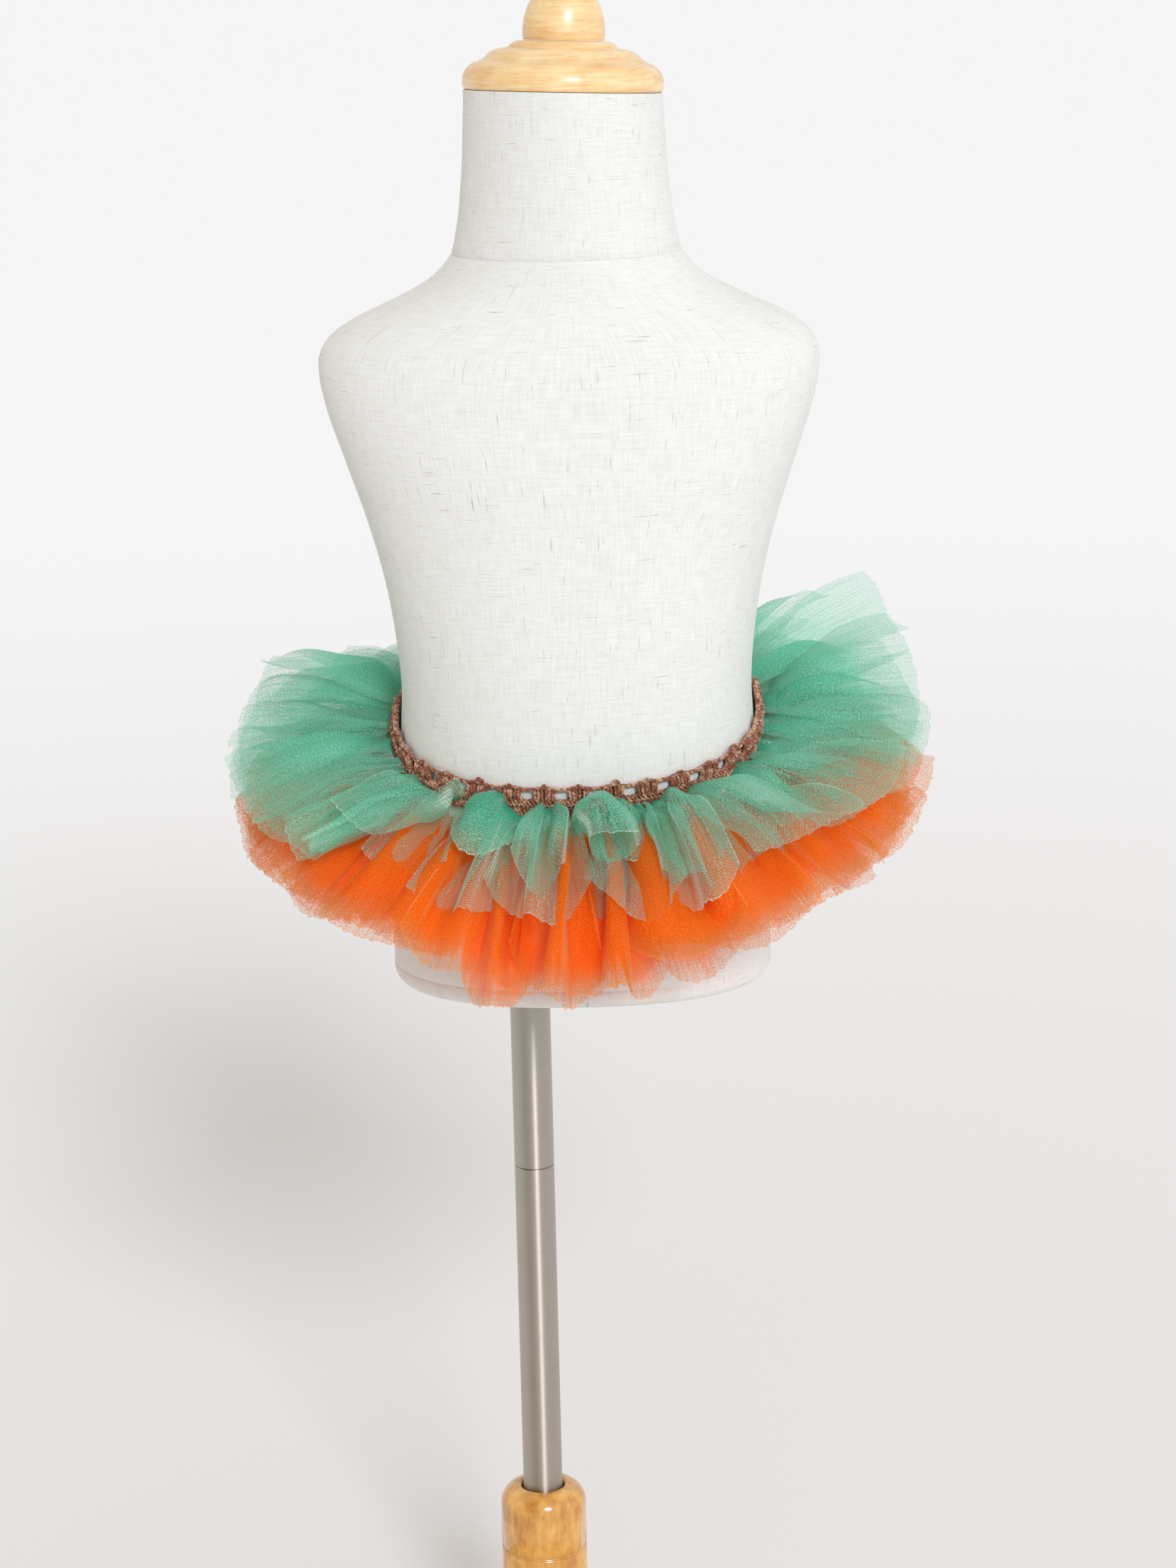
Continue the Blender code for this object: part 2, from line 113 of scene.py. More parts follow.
def turned_wood(name, pale, grain, cell_mm, roughness, coat):
    """Beech or maple turned on a lathe: broad growth bands and hair-fine pores drawn out
    along the grain, cell_mm long on each axis, and a clear varnish that gives a second,
    sharper gloss."""
    material, tree = start_material(name)
    place = add_node(tree, "TexCoord").outputs["Object"]
    scaled = add_node(tree, "Mapping", {"Scale": [1000 / mm for mm in cell_mm]}, {"Vector": place})
    bands = add_node(tree, "TexNoise", {"Scale": 1.0, "Detail": 4, "Roughness": 0.55, "Distortion": 0.3},
            {"Vector": scaled})
    pores = add_node(tree, "TexNoise", {"Scale": 4.5, "Detail": 2}, {"Vector": scaled})
    cloud = add_node(tree, "TexNoise", {"Scale": 70, "Detail": 2}, {"Vector": place})
    share = add_node(tree, "Math", {1: 0.40}, {0: cloud}, operation="MULTIPLY")
    both = add_node(tree, "Math", {1: 0.60}, {0: bands, 2: share}, operation="MULTIPLY_ADD")
    ramp = add_node(tree, "MapRange", {"From Min": 0.36, "From Max": 0.66}, {"Value": both})
    colour = add_node(tree, "Mix", {6: linear(pale), 7: linear(grain)}, {0: ramp}, data_type="RGBA")
    pore = add_node(tree, "MapRange", {"From Min": 0.60, "From Max": 0.76, "To Max": 0.45},
            {"Value": pores})
    marked = add_node(tree, "Mix", {7: linear(WOOD_PORE)}, {0: pore, 6: colour.outputs[2]},
            data_type="RGBA", blend_type="MULTIPLY")
    bump = add_node(tree, "Bump", {"Strength": 0.10, "Distance": 0.0003}, {"Height": pores})
    shader = add_node(tree, "BsdfPrincipled",
            {"Roughness": roughness, "Coat Weight": coat, "Coat Roughness": 0.10, "IOR": 1.5},
            {"Base Color": marked.outputs[2], "Normal": bump})
    add_node(tree, "OutputMaterial", links={"Surface": shader})
    return material


def arc(centre, radius, start, end, count):
    """Points on an arc of a turned profile, as radius and height, from start to end degrees."""
    turns = [math.radians(start + (end - start) * i / (count - 1)) for i in range(count)]
    return [(centre[0] + radius * math.cos(t), centre[1] + radius * math.sin(t)) for t in turns]


def turn(name, profile, material, foot=(0, 0, 0), tilt=(0, 0), segments=96, sharp=35):
    """A piece turned from a profile of radius and height that runs from its top to its foot."""
    mesh = bpy.data.meshes.new(name)
    shape = bmesh.new()
    line = [shape.verts.new((r, 0, h)) for r, h in profile]
    for a, b in zip(line, line[1:]):
        shape.edges.new((a, b))
    bmesh.ops.spin(shape, geom=shape.verts[:] + shape.edges[:], cent=(0, 0, 0), axis=(0, 0, 1),
                   angle=2 * math.pi, steps=segments, use_merge=True)
    bmesh.ops.remove_doubles(shape, verts=shape.verts[:], dist=0.00001)
    bmesh.ops.recalc_face_normals(shape, faces=shape.faces[:])
    shape.to_mesh(mesh)
    shape.free()
    mesh.transform(Euler((math.radians(tilt[0]), math.radians(tilt[1]), 0)).to_matrix().to_4x4())
    mesh.transform(Matrix.Translation(foot))
    mesh.materials.append(material)
    mesh.shade_smooth()
    mesh.set_sharp_from_angle(angle=math.radians(sharp))
    piece = add_object(name, mesh)
    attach(piece, "root")
    return piece


base_wood = turned_wood("varnished beech", WOOD_PALE, WOOD_GRAIN, WOOD_CELL_MM, 0.34, 0.35)
base_profile = [
    (0, BASE_THICKNESS), (0.020, BASE_THICKNESS), (BASE_RADIUS - 0.022, BASE_THICKNESS),
    (BASE_RADIUS - 0.0205, BASE_THICKNESS - 0.0012), (BASE_RADIUS - 0.017, BASE_THICKNESS - 0.0016)]
base_profile += arc((BASE_RADIUS - BASE_RIM, BASE_THICKNESS - 0.003 - BASE_RIM), BASE_RIM, 90, 0, 9)
base_profile += arc((BASE_RADIUS - 0.003, 0.003), 0.003, 0, -90, 5) + [(0, 0)]
base = turn("round_base", base_profile, base_wood)
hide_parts("stand_base")

# Turned hub
# A darker, golden-varnished hardwood socket that grips the pole. Its rim is rounded over
# and worn bright, with one thin groove cut round it where the lathe parted the bead.
HUB_TOP = 0.150
HUB_RADIUS = 0.0236
HUB_RIM = 0.0105
HUB_HOLE = 0.0119
HUB_HOLE_DEPTH = 0.040
HUB_GROOVE = 0.114
HUB_PALE = "F0B962"
HUB_GRAIN = "B87526"
HUB_CELL_MM = (7, 7, 22)

hub_wood = turned_wood("golden varnished hardwood", HUB_PALE, HUB_GRAIN, HUB_CELL_MM, 0.22, 0.7)
hub_foot = BASE_THICKNESS + 0.0002
hub_hole_foot = HUB_TOP - HUB_HOLE_DEPTH
hub_profile = [(0, hub_hole_foot), (HUB_HOLE, hub_hole_foot), (HUB_HOLE, HUB_TOP - 0.0022)]
hub_profile += arc((HUB_HOLE + 0.0016, HUB_TOP - 0.0016), 0.0016, 180, 90, 5)
hub_profile += arc((HUB_RADIUS - HUB_RIM, HUB_TOP - HUB_RIM), HUB_RIM, 84, 0, 14)
hub_profile += [(HUB_RADIUS, HUB_GROOVE + 0.0016), (HUB_RADIUS - 0.0004, HUB_GROOVE + 0.0009)]
hub_profile += arc((HUB_RADIUS - 0.0002, HUB_GROOVE), 0.0011, 100, 260, 7)
hub_profile += [(HUB_RADIUS - 0.0004, HUB_GROOVE - 0.0009), (HUB_RADIUS, HUB_GROOVE - 0.0016),
                (HUB_RADIUS, 0.060)]
hub_profile += arc((HUB_RADIUS + 0.0120, 0.056), 0.0120, 180, 248, 10)
hub_profile += arc((0.0300, 0.0300), 0.0038, 60, -20, 6)
hub_profile += [(0.0335, hub_foot + 0.0015), (0.0325, hub_foot), (0, hub_foot)]
hub = turn("turned_hub", hub_profile, hub_wood)
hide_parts("stand_hub")

# Steel pole
# Stainless tube in two lengths, brushed round and round on a belt, so its highlights run
# lengthwise. The joint is a hairline with a broken edge just above the middle.
POLE_RADIUS = 0.0108
POLE_JOINT = 0.338
POLE_TOP = 0.4487
STEEL = "C3BCB2"
STEEL_DARK = "B5AEA4"
BRUSH_MM = 0.35
POLE_EDGE = 0.0003


def brushed_steel(name):
    """Brushed stainless steel: metal with hair-fine rings round the tube that spread the
    highlight lengthwise, and faint cloudy patches where hands have dulled it."""
    material, tree = start_material(name)
    place = add_node(tree, "TexCoord").outputs["Object"]
    scaled = add_node(tree, "Mapping", {"Scale": (30, 30, 1000 / BRUSH_MM)}, {"Vector": place})
    brush = add_node(tree, "TexNoise", {"Scale": 1.0, "Detail": 2, "Roughness": 0.5}, {"Vector": scaled})
    cloud = add_node(tree, "TexNoise", {"Scale": 55, "Detail": 3}, {"Vector": place})
    colour = add_node(tree, "Mix", {6: linear(STEEL), 7: linear(STEEL_DARK)}, {0: brush}, data_type="RGBA")
    rough = add_node(tree, "MapRange", {"To Min": 0.38, "To Max": 0.46}, {"Value": cloud})
    bump = add_node(tree, "Bump", {"Strength": 0.04, "Distance": 0.0001}, {"Height": brush})
    shader = add_node(tree, "BsdfPrincipled",
            {"Metallic": 1.0, "Anisotropic": 0.9, "Anisotropic Rotation": 0.25},
            {"Base Color": colour.outputs[2], "Roughness": rough, "Normal": bump})
    add_node(tree, "OutputMaterial", links={"Surface": shader})
    return material


def tube_profile(low, high):
    """A closed rod's profile with both ends broken by a small chamfer."""
    inner = POLE_RADIUS - POLE_EDGE
    return [(0, high), (inner, high), (POLE_RADIUS, high - POLE_EDGE), (POLE_RADIUS, low + POLE_EDGE),
            (inner, low), (0, low)]


steel = brushed_steel("brushed stainless steel")
for node, low, high in (("pole_lower", hub_hole_foot + POLE_EDGE, POLE_JOINT),
                        ("pole_upper", POLE_JOINT + POLE_EDGE, POLE_TOP)):
    pole = turn(node + "_tube", tube_profile(low, high), steel, segments=64)
    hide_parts(node)

# Flange under the form
# A pressed steel plate with a short collar that takes the pole, held up into the form by
# four countersunk screws.
FLANGE_RADIUS = 0.026
FLANGE_THICKNESS = 0.005
FLANGE_COLLAR = 0.012
SCREW_CIRCLE = 0.0205
SCREW_RADIUS = 0.0026

bore = POLE_RADIUS + POLE_EDGE
plate_low = POLE_TOP - FLANGE_THICKNESS
collar_low = POLE_TOP - FLANGE_COLLAR
flange_profile = [
    (bore, POLE_TOP), (FLANGE_RADIUS - 0.0008, POLE_TOP), (FLANGE_RADIUS, POLE_TOP - 0.0008),
    (FLANGE_RADIUS, plate_low + 0.001), (FLANGE_RADIUS - 0.001, plate_low), (bore + 0.006, plate_low),
    (bore + 0.004, plate_low - 0.002), (bore + 0.004, collar_low + 0.0008), (bore + 0.0032, collar_low),
    (bore, collar_low), (bore, POLE_TOP)]
flange = turn("flange_plate", flange_profile, steel, segments=64)
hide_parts("pole_flange")
screw_head = ((0, 0.0016), (0.7, 0.0016), (1, 0.0009), (0.8, 0.0002), (0.35, 0), (0, 0.0004))
head = [(SCREW_RADIUS * share, plate_low - 0.0010 + rise) for share, rise in screw_head]
for number in range(4):
    spot = math.radians(45 + 90 * number)
    turn(f"flange_screw_{number + 1}", head, steel, segments=20,
         foot=(SCREW_CIRCLE * math.cos(spot), SCREW_CIRCLE * math.sin(spot), 0))

# Linen-covered form
# A moulded child's torso with a tall neck, covered in off-white slubbed linen that is
# glued on smooth, joined by one seam round the neck's foot and turned in round the base.
TORSO_X = 0.029
TORSO_FOOT = 0.449
TORSO_COLUMNS = 160
TORSO_ROWS = 110
FOOT_ROUNDING = 0.007
NECK_HEIGHT = 0.4625
NECK_TILT = (-2.6, 2.2)
SEAMS = ((0.0105, 0.0005), (0.382, 0.0007))
SEAM_HALF_WIDTH = 0.0011
CLOTH_RADIUS = (0.092, 0.053)
LINEN = "EAE9E6"
LINEN_SHADE = "DDDBD3"
LINEN_SLUB = "978A78"
LINEN_THREAD_MM = 0.9
LINEN_DRAWN_OUT = 14
SLUB_MM = (1.0, 20.0)

# The form's outline: height above its foot, half width, depth to the front and to the
# back, and how square the rounded outline is.
TORSO_SECTIONS = (
    ("height", "half_width", "front", "back", "squareness"),
    (0.007, 0.1005, 0.0780, 0.0770, 2.35),
    (0.050, 0.1000, 0.0800, 0.0815, 2.35),
    (0.095, 0.0965, 0.0810, 0.0770, 2.30),
    (0.130, 0.0934, 0.0805, 0.0700, 2.30),
    (0.157, 0.0918, 0.0790, 0.0655, 2.30),
    (0.188, 0.0942, 0.0770, 0.0640, 2.30),
    (0.218, 0.0992, 0.0745, 0.0655, 2.30),
    (0.248, 0.1071, 0.0725, 0.0680, 2.30),
    (0.278, 0.1168, 0.0705, 0.0695, 2.35),
    (0.307, 0.1259, 0.0665, 0.0685, 2.35),
    (0.322, 0.1286, 0.0640, 0.0640, 2.30),
    (0.334, 0.1276, 0.0600, 0.0610, 2.25),
    (0.343, 0.1210, 0.0570, 0.0590, 2.15),
    (0.351, 0.1083, 0.0545, 0.0570, 2.05),
    (0.359, 0.0905, 0.0530, 0.0555, 2.00),
    (0.367, 0.0745, 0.0522, 0.0545, 2.00),
    (0.380, 0.0605, 0.0515, 0.0532, 2.00),
    (0.395, 0.0560, 0.0512, 0.0522, 2.00),
    (0.415, 0.0533, 0.0510, 0.0515, 2.00),
    (0.458, 0.0506, 0.0506, 0.0506, 2.00),
)


def column(table, name):
    """One named column of a table whose first row holds the names."""
    where = table[0].index(name)
    return np.array([row[where] for row in table[1:]])


def eased(share):
    """A share from 0 to 1 that starts and ends gently."""
    return share * share * (3 - 2 * share)


def torso_size(name, height):
    """A size of the form at a height, on a smooth curve through the table's rows."""
    heights = column(TORSO_SECTIONS, "height")
    values = column(TORSO_SECTIONS, name)
    slopes = np.gradient(values, heights)
    height = min(max(height, heights[0]), heights[-1])
    i = min(int(np.searchsorted(heights, height, side="right")) - 1, len(heights) - 2)
    span = heights[i + 1] - heights[i]
    s = (height - heights[i]) / span
    low = (1 + 2 * s) * (1 - s) ** 2 * values[i] + s * (1 - s) ** 2 * span * slopes[i]
    return low + eased(s) * values[i + 1] + s * s * (s - 1) * span * slopes[i + 1]


def torso_ring(angles, height, inset=0.0):
    """Points round the form at a height above its foot; angle 0 is +X."""
    cosines, sines = np.cos(angles), np.sin(angles)
    power = 2 / torso_size("squareness", height)
    depth = np.where(sines > 0, torso_size("back", height), torso_size("front", height)) - inset
    x = TORSO_X + (torso_size("half_width", height) - inset) * np.sign(cosines) * np.abs(cosines) ** power
    y = depth * np.sign(sines) * np.abs(sines) ** power
    return np.stack([x, y, np.full_like(x, TORSO_FOOT + height)], axis=1)


def grid_mesh(name, rows, uvs=None, closed=False):
    """A mesh through a grid of points, rows by columns, with one UV for each point."""
    grid = np.array(rows)
    count, across = grid.shape[:2]
    index = np.arange(count * across).reshape(count, across)
    a, b = index[:-1, :-1].ravel(), index[:-1, 1:].ravel()
    c, d = index[1:, 1:].ravel(), index[1:, :-1].ravel()
    faces = np.stack([a, b, c, d], axis=1)
    mesh = bpy.data.meshes.new(name)
    mesh.from_pydata(grid.reshape(-1, 3), [], faces.tolist())
    if uvs is not None:
        layer = mesh.uv_layers.new(name="cloth")
        corners = np.array(uvs).reshape(-1, 2)[faces.ravel()]
        layer.data.foreach_set("uv", corners.astype(np.float32).ravel())
    if closed:
        shape = bmesh.new()
        shape.from_mesh(mesh)
        bmesh.ops.remove_doubles(shape, verts=shape.verts[:], dist=0.00001)
        bmesh.ops.holes_fill(shape, edges=shape.edges[:], sides=across)
        bmesh.ops.recalc_face_normals(shape, faces=shape.faces[:])
        shape.to_mesh(mesh)
        shape.free()
    return mesh


def slubbed_linen(name):
    """Bleached linen-look cotton: a plain weave with ribs down the form, and thicker flax
    slubs that show as short grey-brown dashes both ways. Threads are drawn twice as coarse
    as real so that they show."""
    material, tree = start_material(name)
    cloth = add_node(tree, "UVMap", uv_map="cloth")
    threads = []
    slubs = []
    for lengthwise in (0, 1):
        fine = [1000 / LINEN_THREAD_MM] * 3
        fine[lengthwise] = 1000 / (LINEN_THREAD_MM * LINEN_DRAWN_OUT)
        fine[2] = 0
        spread = add_node(tree, "Mapping", {"Scale": fine}, {"Vector": cloth})
        threads.append(add_node(tree, "TexNoise", {"Scale": 1.0, "Detail": 2}, {"Vector": spread}))
        long = [1000 / SLUB_MM[0]] * 3
        long[lengthwise] = 1000 / SLUB_MM[1]
        long[2] = 0
        far = add_node(tree, "Mapping", {"Scale": long, "Location": (7.3, 3.1, 0)}, {"Vector": cloth})
        blot = add_node(tree, "TexNoise", {"Scale": 1.0, "Detail": 3, "Roughness": 0.6}, {"Vector": far})
        slubs.append(add_node(tree, "MapRange", {"From Min": 0.648, "From Max": 0.73}, {"Value": blot}))
    weave = add_node(tree, "Math", links={0: threads[0].outputs["Fac"], 1: threads[1].outputs["Fac"]},
            operation="ADD")
    slub = add_node(tree, "Math", links={0: slubs[0].outputs["Result"], 1: slubs[1].outputs["Result"]},
            operation="MAXIMUM")
    tone = add_node(tree, "MapRange", {"From Min": 0.66, "From Max": 1.30}, {"Value": weave})
    ground = add_node(tree, "Mix", {6: linear(LINEN_SHADE), 7: linear(LINEN)}, {0: tone}, data_type="RGBA")
    marked = add_node(tree, "Math", {1: 0.62}, {0: slub}, operation="MULTIPLY")
    colour = add_node(tree, "Mix", {7: linear(LINEN_SLUB)}, {0: marked, 6: ground.outputs[2]},
            data_type="RGBA")
    raised = add_node(tree, "Math", {1: 0.6}, {0: slub, 2: weave}, operation="MULTIPLY_ADD")
    bump = add_node(tree, "Bump", {"Strength": 0.35, "Distance": 0.0003}, {"Height": raised})
    shader = add_node(tree, "BsdfPrincipled",
            {"Roughness": 0.85, "Sheen Weight": 0.15, "Sheen Roughness": 0.5},
            {"Base Color": colour.outputs[2], "Normal": bump})
    add_node(tree, "OutputMaterial", links={"Surface": shader})
    return material


torso_angles = np.linspace(-math.pi / 2, 1.5 * math.pi, TORSO_COLUMNS + 1)
torso_rows = []
torso_heights = []
for step in range(7):
    turn_in = step / 6 * math.pi / 2
    ring = torso_ring(torso_angles, FOOT_ROUNDING, FOOT_ROUNDING * (1 - math.sin(turn_in)))
    ring[:, 2] = TORSO_FOOT + FOOT_ROUNDING * (1 - math.cos(turn_in))
    torso_rows.append(ring)
    torso_heights.append(ring[0, 2] - TORSO_FOOT)
walls = list(np.linspace(FOOT_ROUNDING + 0.001, TORSO_SECTIONS[-1][0], TORSO_ROWS))
for seam_height, _ in SEAMS:
    walls = [h for h in walls if abs(h - seam_height) > 2 * SEAM_HALF_WIDTH]
    walls += [seam_height + k * SEAM_HALF_WIDTH for k in (-1, -0.4, 0, 0.4, 1)]
for height in sorted(walls):
    sunk = 0.0
    for seam_height, depth in SEAMS:
        sunk += depth * max(0.0, 1 - abs(height - seam_height) / SEAM_HALF_WIDTH)
    torso_rows.append(torso_ring(torso_angles, height, sunk))
    torso_heights.append(height)
neck_lean = Euler((math.radians(NECK_TILT[0]), math.radians(NECK_TILT[1]), 0)).to_matrix()
neck_top = Vector((TORSO_X, 0, TORSO_FOOT + NECK_HEIGHT))
neck_radius = torso_size("half_width", NECK_HEIGHT)
brim = [Vector((neck_radius * math.cos(a), neck_radius * math.sin(a), 0)) for a in torso_angles]
torso_rows.append(np.array([neck_top + neck_lean @ spot for spot in brim]))
torso_heights.append(NECK_HEIGHT)
torso_uvs = [[((a + math.pi / 2) * CLOTH_RADIUS[h > SEAMS[1][0]], h) for a in torso_angles]
             for h in torso_heights]
linen = slubbed_linen("slubbed linen")
torso_mesh = grid_mesh("linen_form", torso_rows, torso_uvs, closed=True)
torso_mesh.materials.append(linen)
torso_mesh.shade_smooth()
torso_mesh.set_sharp_from_angle(angle=math.radians(50))
form = add_object("linen_form", torso_mesh)
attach(form, "root")
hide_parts("torso")

# Wooden neck cap and knob
# Pale maple turned with two steps, glued and screwed down on the neck through the knob,
# under a clear satin varnish. The whole top leans back and to the right a little.
CAP_PALE = "FBDEAA"
CAP_GRAIN = "E8B26C"
CAP_CELL_MM = (38, 26, 2.6)
CAP_RADIUS = 0.0512
CAP_HEIGHT = 0.0247
KNOB_RADIUS = 0.0210
KNOB_HEIGHT = 0.0300
KNOB_SIDE = 0.0028
SEAT = 0.0003

cap_wood = turned_wood("clear varnished maple", CAP_PALE, CAP_GRAIN, CAP_CELL_MM, 0.30, 0.45)
cap_profile = [(0, CAP_HEIGHT), (0.0215, CAP_HEIGHT), (0.0225, 0.0246)]
cap_profile += arc((0.0225, 0.0185), 0.0061, 78, 22, 6)
cap_profile += [(0.0287, 0.0214), (0.0292, 0.0210), (0.0310, 0.0209)]
cap_profile += arc((0.0300, 0.0085), 0.0124, 80, 38, 7)
cap_profile += [(0.0408, 0.0156), (0.0412, 0.0150), (0.0424, 0.0148)]
cap_profile += arc((0.0407, 0.0040), 0.0105, 78, 2, 10)
cap_profile += [(CAP_RADIUS, 0.0036), (0.0511, 0.0018), (0.0504, 0.0005), (0.0500, 0), (0, 0)]
cap_foot = (TORSO_X, 0, TORSO_FOOT + NECK_HEIGHT)
cap_profile = [(r, h + SEAT) for r, h in cap_profile]
cap = turn("neck_cap_turned", cap_profile, cap_wood, cap_foot, NECK_TILT)
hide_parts("neck_cap")
knob_foot = CAP_HEIGHT + 2 * SEAT
knob_profile = []
for step in range(15):
    rise = math.pi / 2 * (1 - step / 14)
    radius = KNOB_RADIUS * max(math.cos(rise), 0) ** 0.85
    high = knob_foot + KNOB_SIDE + (KNOB_HEIGHT - KNOB_SIDE) * math.sin(rise)
    knob_profile.append((radius if step else 0, high))
knob_profile += [(0.0208, knob_foot + 0.0010), (0.0203, knob_foot), (0, knob_foot)]
knob = turn("neck_knob", knob_profile, cap_wood, cap_foot, NECK_TILT)
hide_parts("neck_finial")

# Crochet waistband
# A stretchy band crocheted from brown cotton yarn over elastic: a corded top edge with
# little picot loops, clusters of long stitches between stretched eyelets, three rows of
# tight stitches and a corded lower edge that the tulle is looped through.
BAND_MIDDLE = 0.138
BAND_TILT = 0.31
BAND_ROLL = 0.02
BAND_EYELETS = 32
BAND_CELLS = 4
BAND_STANDOFF = 0.0020
BAND_DEPTH = 1.8
BAND_SEED = 3
EYELET_RISE = 0.0033
EYELET_HALF = (0.0035, 0.0031)
YARN_RADIUS = 0.00062
YARN_SIDES = 5
YARN = "A65C3E"
# Painted highlight: the pale tint of the yarn's shiny patches.
YARN_PAINTED_HIGHLIGHT = "E3AE8C"
# Painted shade: the dark brown of the hollows between plies and of the core behind the stitches.
YARN_PAINTED_SHADE = "3C1A10"


def waist_height(x, y):
    """How high the band's middle lies above the form's foot: it dips to the front."""
    return BAND_MIDDLE + BAND_TILT * y + BAND_ROLL * (x - TORSO_X)


def waist_place(angle, rise=0.0):
    """A point of the form's surface, rise above the band's middle."""
    flat = torso_ring(np.array([angle]), BAND_MIDDLE)[0]
    return Vector(torso_ring(np.array([angle]), waist_height(flat[0], flat[1]) + rise)[0])


def tube(points, radius, sides, closed=False):
    """A round yarn along points, as corner points and faces."""
    line = np.array(points, float)
    count = len(line)
    ahead_of = np.roll(line, -1, 0) - np.roll(line, 1, 0)
    if not closed:
        ahead_of[0] = line[1] - line[0]
        ahead_of[-1] = line[-1] - line[-2]
    ahead_of /= np.linalg.norm(ahead_of, axis=1)[:, None]
    side_of = np.cross(ahead_of, [0, 0, 1.0])
    side_of += np.array([1e-6, 0, 0])
    side_of /= np.linalg.norm(side_of, axis=1)[:, None]
    over = np.cross(side_of, ahead_of)
    turns = np.linspace(0, 2 * math.pi, sides, endpoint=False)
    rings = line[:, None] + radius * (np.cos(turns)[None, :, None] * side_of[:, None]
                                      + np.sin(turns)[None, :, None] * over[:, None])
    faces = []
    last = count if closed else count - 1
    for i in range(last):
        j = (i + 1) % count
        for k in range(sides):
            m = (k + 1) % sides
            faces.append((i * sides + k, i * sides + m, j * sides + m, j * sides + k))
    if not closed:
        faces.append(tuple(range(sides)))
        faces.append(tuple((count - 1) * sides + k for k in reversed(range(sides))))
    return rings.reshape(-1, 3), faces


def crochet_repeat(pitch, cells, draw):
    """Some eyelets' length of the pattern laid flat: x along the band, y up it, z out of it.
    Hand work is uneven, so stitches are jittered and one picot in each repeat is large."""
    strands = []

    def lay(x, y, z, closed=False):
        strands.append((np.stack([x, y, z], 1), closed))

    ring = np.linspace(0, 2 * math.pi, 11, endpoint=False)
    length = pitch * cells
    steps = np.linspace(0, length, 14 * cells + 1)
    for ply in (0, math.pi):
        wind = steps / pitch * 2 * math.pi * 3 + ply
        lift = 0.0006 * np.cos(steps / pitch * 2 * math.pi)
        lay(steps, 0.0068 + lift + 0.0004 * np.cos(wind), 0.0003 + 0.0004 * np.sin(wind))
        lay(steps, -0.0074 + 0.0005 * np.cos(wind), 0.0004 + 0.0005 * np.sin(wind))
    for cell in range(cells):
        middle = cell * pitch
        picot = 0.0013 * (1.45 if cell == 1 else draw.uniform(0.7, 1.0))
        x = middle + draw.uniform(-0.0015, 0.0015)
        lay(x + picot * np.cos(ring), 0.0074 + picot * (1 + np.sin(ring)) * 0.62,
            0.0007 + 0.0003 * np.sin(2 * ring), closed=True)
        eyelet = middle + pitch / 2 + draw.uniform(-0.0003, 0.0003)
        lay(eyelet + (EYELET_HALF[0] + YARN_RADIUS) * np.cos(ring),
            EYELET_RISE + (EYELET_HALF[1] + YARN_RADIUS) * np.sin(ring),
            0.0004 + 0.0002 * np.cos(3 * ring), closed=True)
        for post in range(6):
            climb = np.linspace(0, 1, 7)
            foot = middle + (post - 2.5) * 0.00155 + draw.uniform(-0.0003, 0.0003)
            for ply in (0, math.pi):
                wind = climb * 2 * math.pi * 1.7 + ply + post
                x = foot + (post - 2.5) * 0.00030 * climb + 0.00042 * np.cos(wind)
                y = 0.0004 + 0.0062 * climb
                z = 0.0005 + 0.0008 * np.sin(climb * math.pi) + 0.00042 * np.sin(wind)
                lay(x, y, z)
        for row, height in enumerate((-0.0004, -0.0028, -0.0052)):
            for number in range(8):
                foot = middle + (number + 0.5 * (row % 2)) * pitch / 8 + draw.uniform(-0.0002, 0.0002)
                slant = 0.6 if row % 2 else -0.6
                out = draw.uniform(0.0004, 0.0009)
                along = 0.00155 * np.cos(ring)
                y = height + 0.00100 * np.sin(ring) + slant * along
                lay(foot + along, y, out + 0.0005 * np.cos(ring), closed=True)
    corners = []
    faces = []
    start = 0
    for line, closed in strands:
        made, sides = tube(line, YARN_RADIUS, YARN_SIDES, closed)
        corners.append(made)
        faces += [tuple(start + i for i in face) for face in sides]
        start += len(made)
    yarn_points = start
    across = np.linspace(0, length, 24 * cells + 1)
    up = np.linspace(-0.0076, 0.0068, 19)
    core = [(x, y, -0.0003) for y in up for x in across]
    corners.append(np.array(core))
    for j in range(len(up) - 1):
        for i in range(len(across) - 1):
            x, y = (across[i] + across[i + 1]) / 2, (up[j] + up[j + 1]) / 2
            off = (x % pitch - pitch / 2) / (EYELET_HALF[0] + 0.0002)
            if off ** 2 + ((y - EYELET_RISE) / (EYELET_HALF[1] + 0.0002)) ** 2 < 1:
                continue
            a = start + j * len(across) + i
            faces.append((a, a + 1, a + 1 + len(across), a + len(across)))
    points = np.concatenate(corners) * (1, 1, BAND_DEPTH)
    mesh = bpy.data.meshes.new("crochet_repeat")
    mesh.from_pydata(points, [], faces)
    # The core's points are marked, so that the yarn's material paints them dark brown as painted shade.
    layer = mesh.attributes.new("core", "FLOAT", "POINT")
    layer.data.foreach_set("value", (np.arange(len(points)) >= yarn_points).astype(np.float32))
    mesh.shade_smooth()
    return mesh


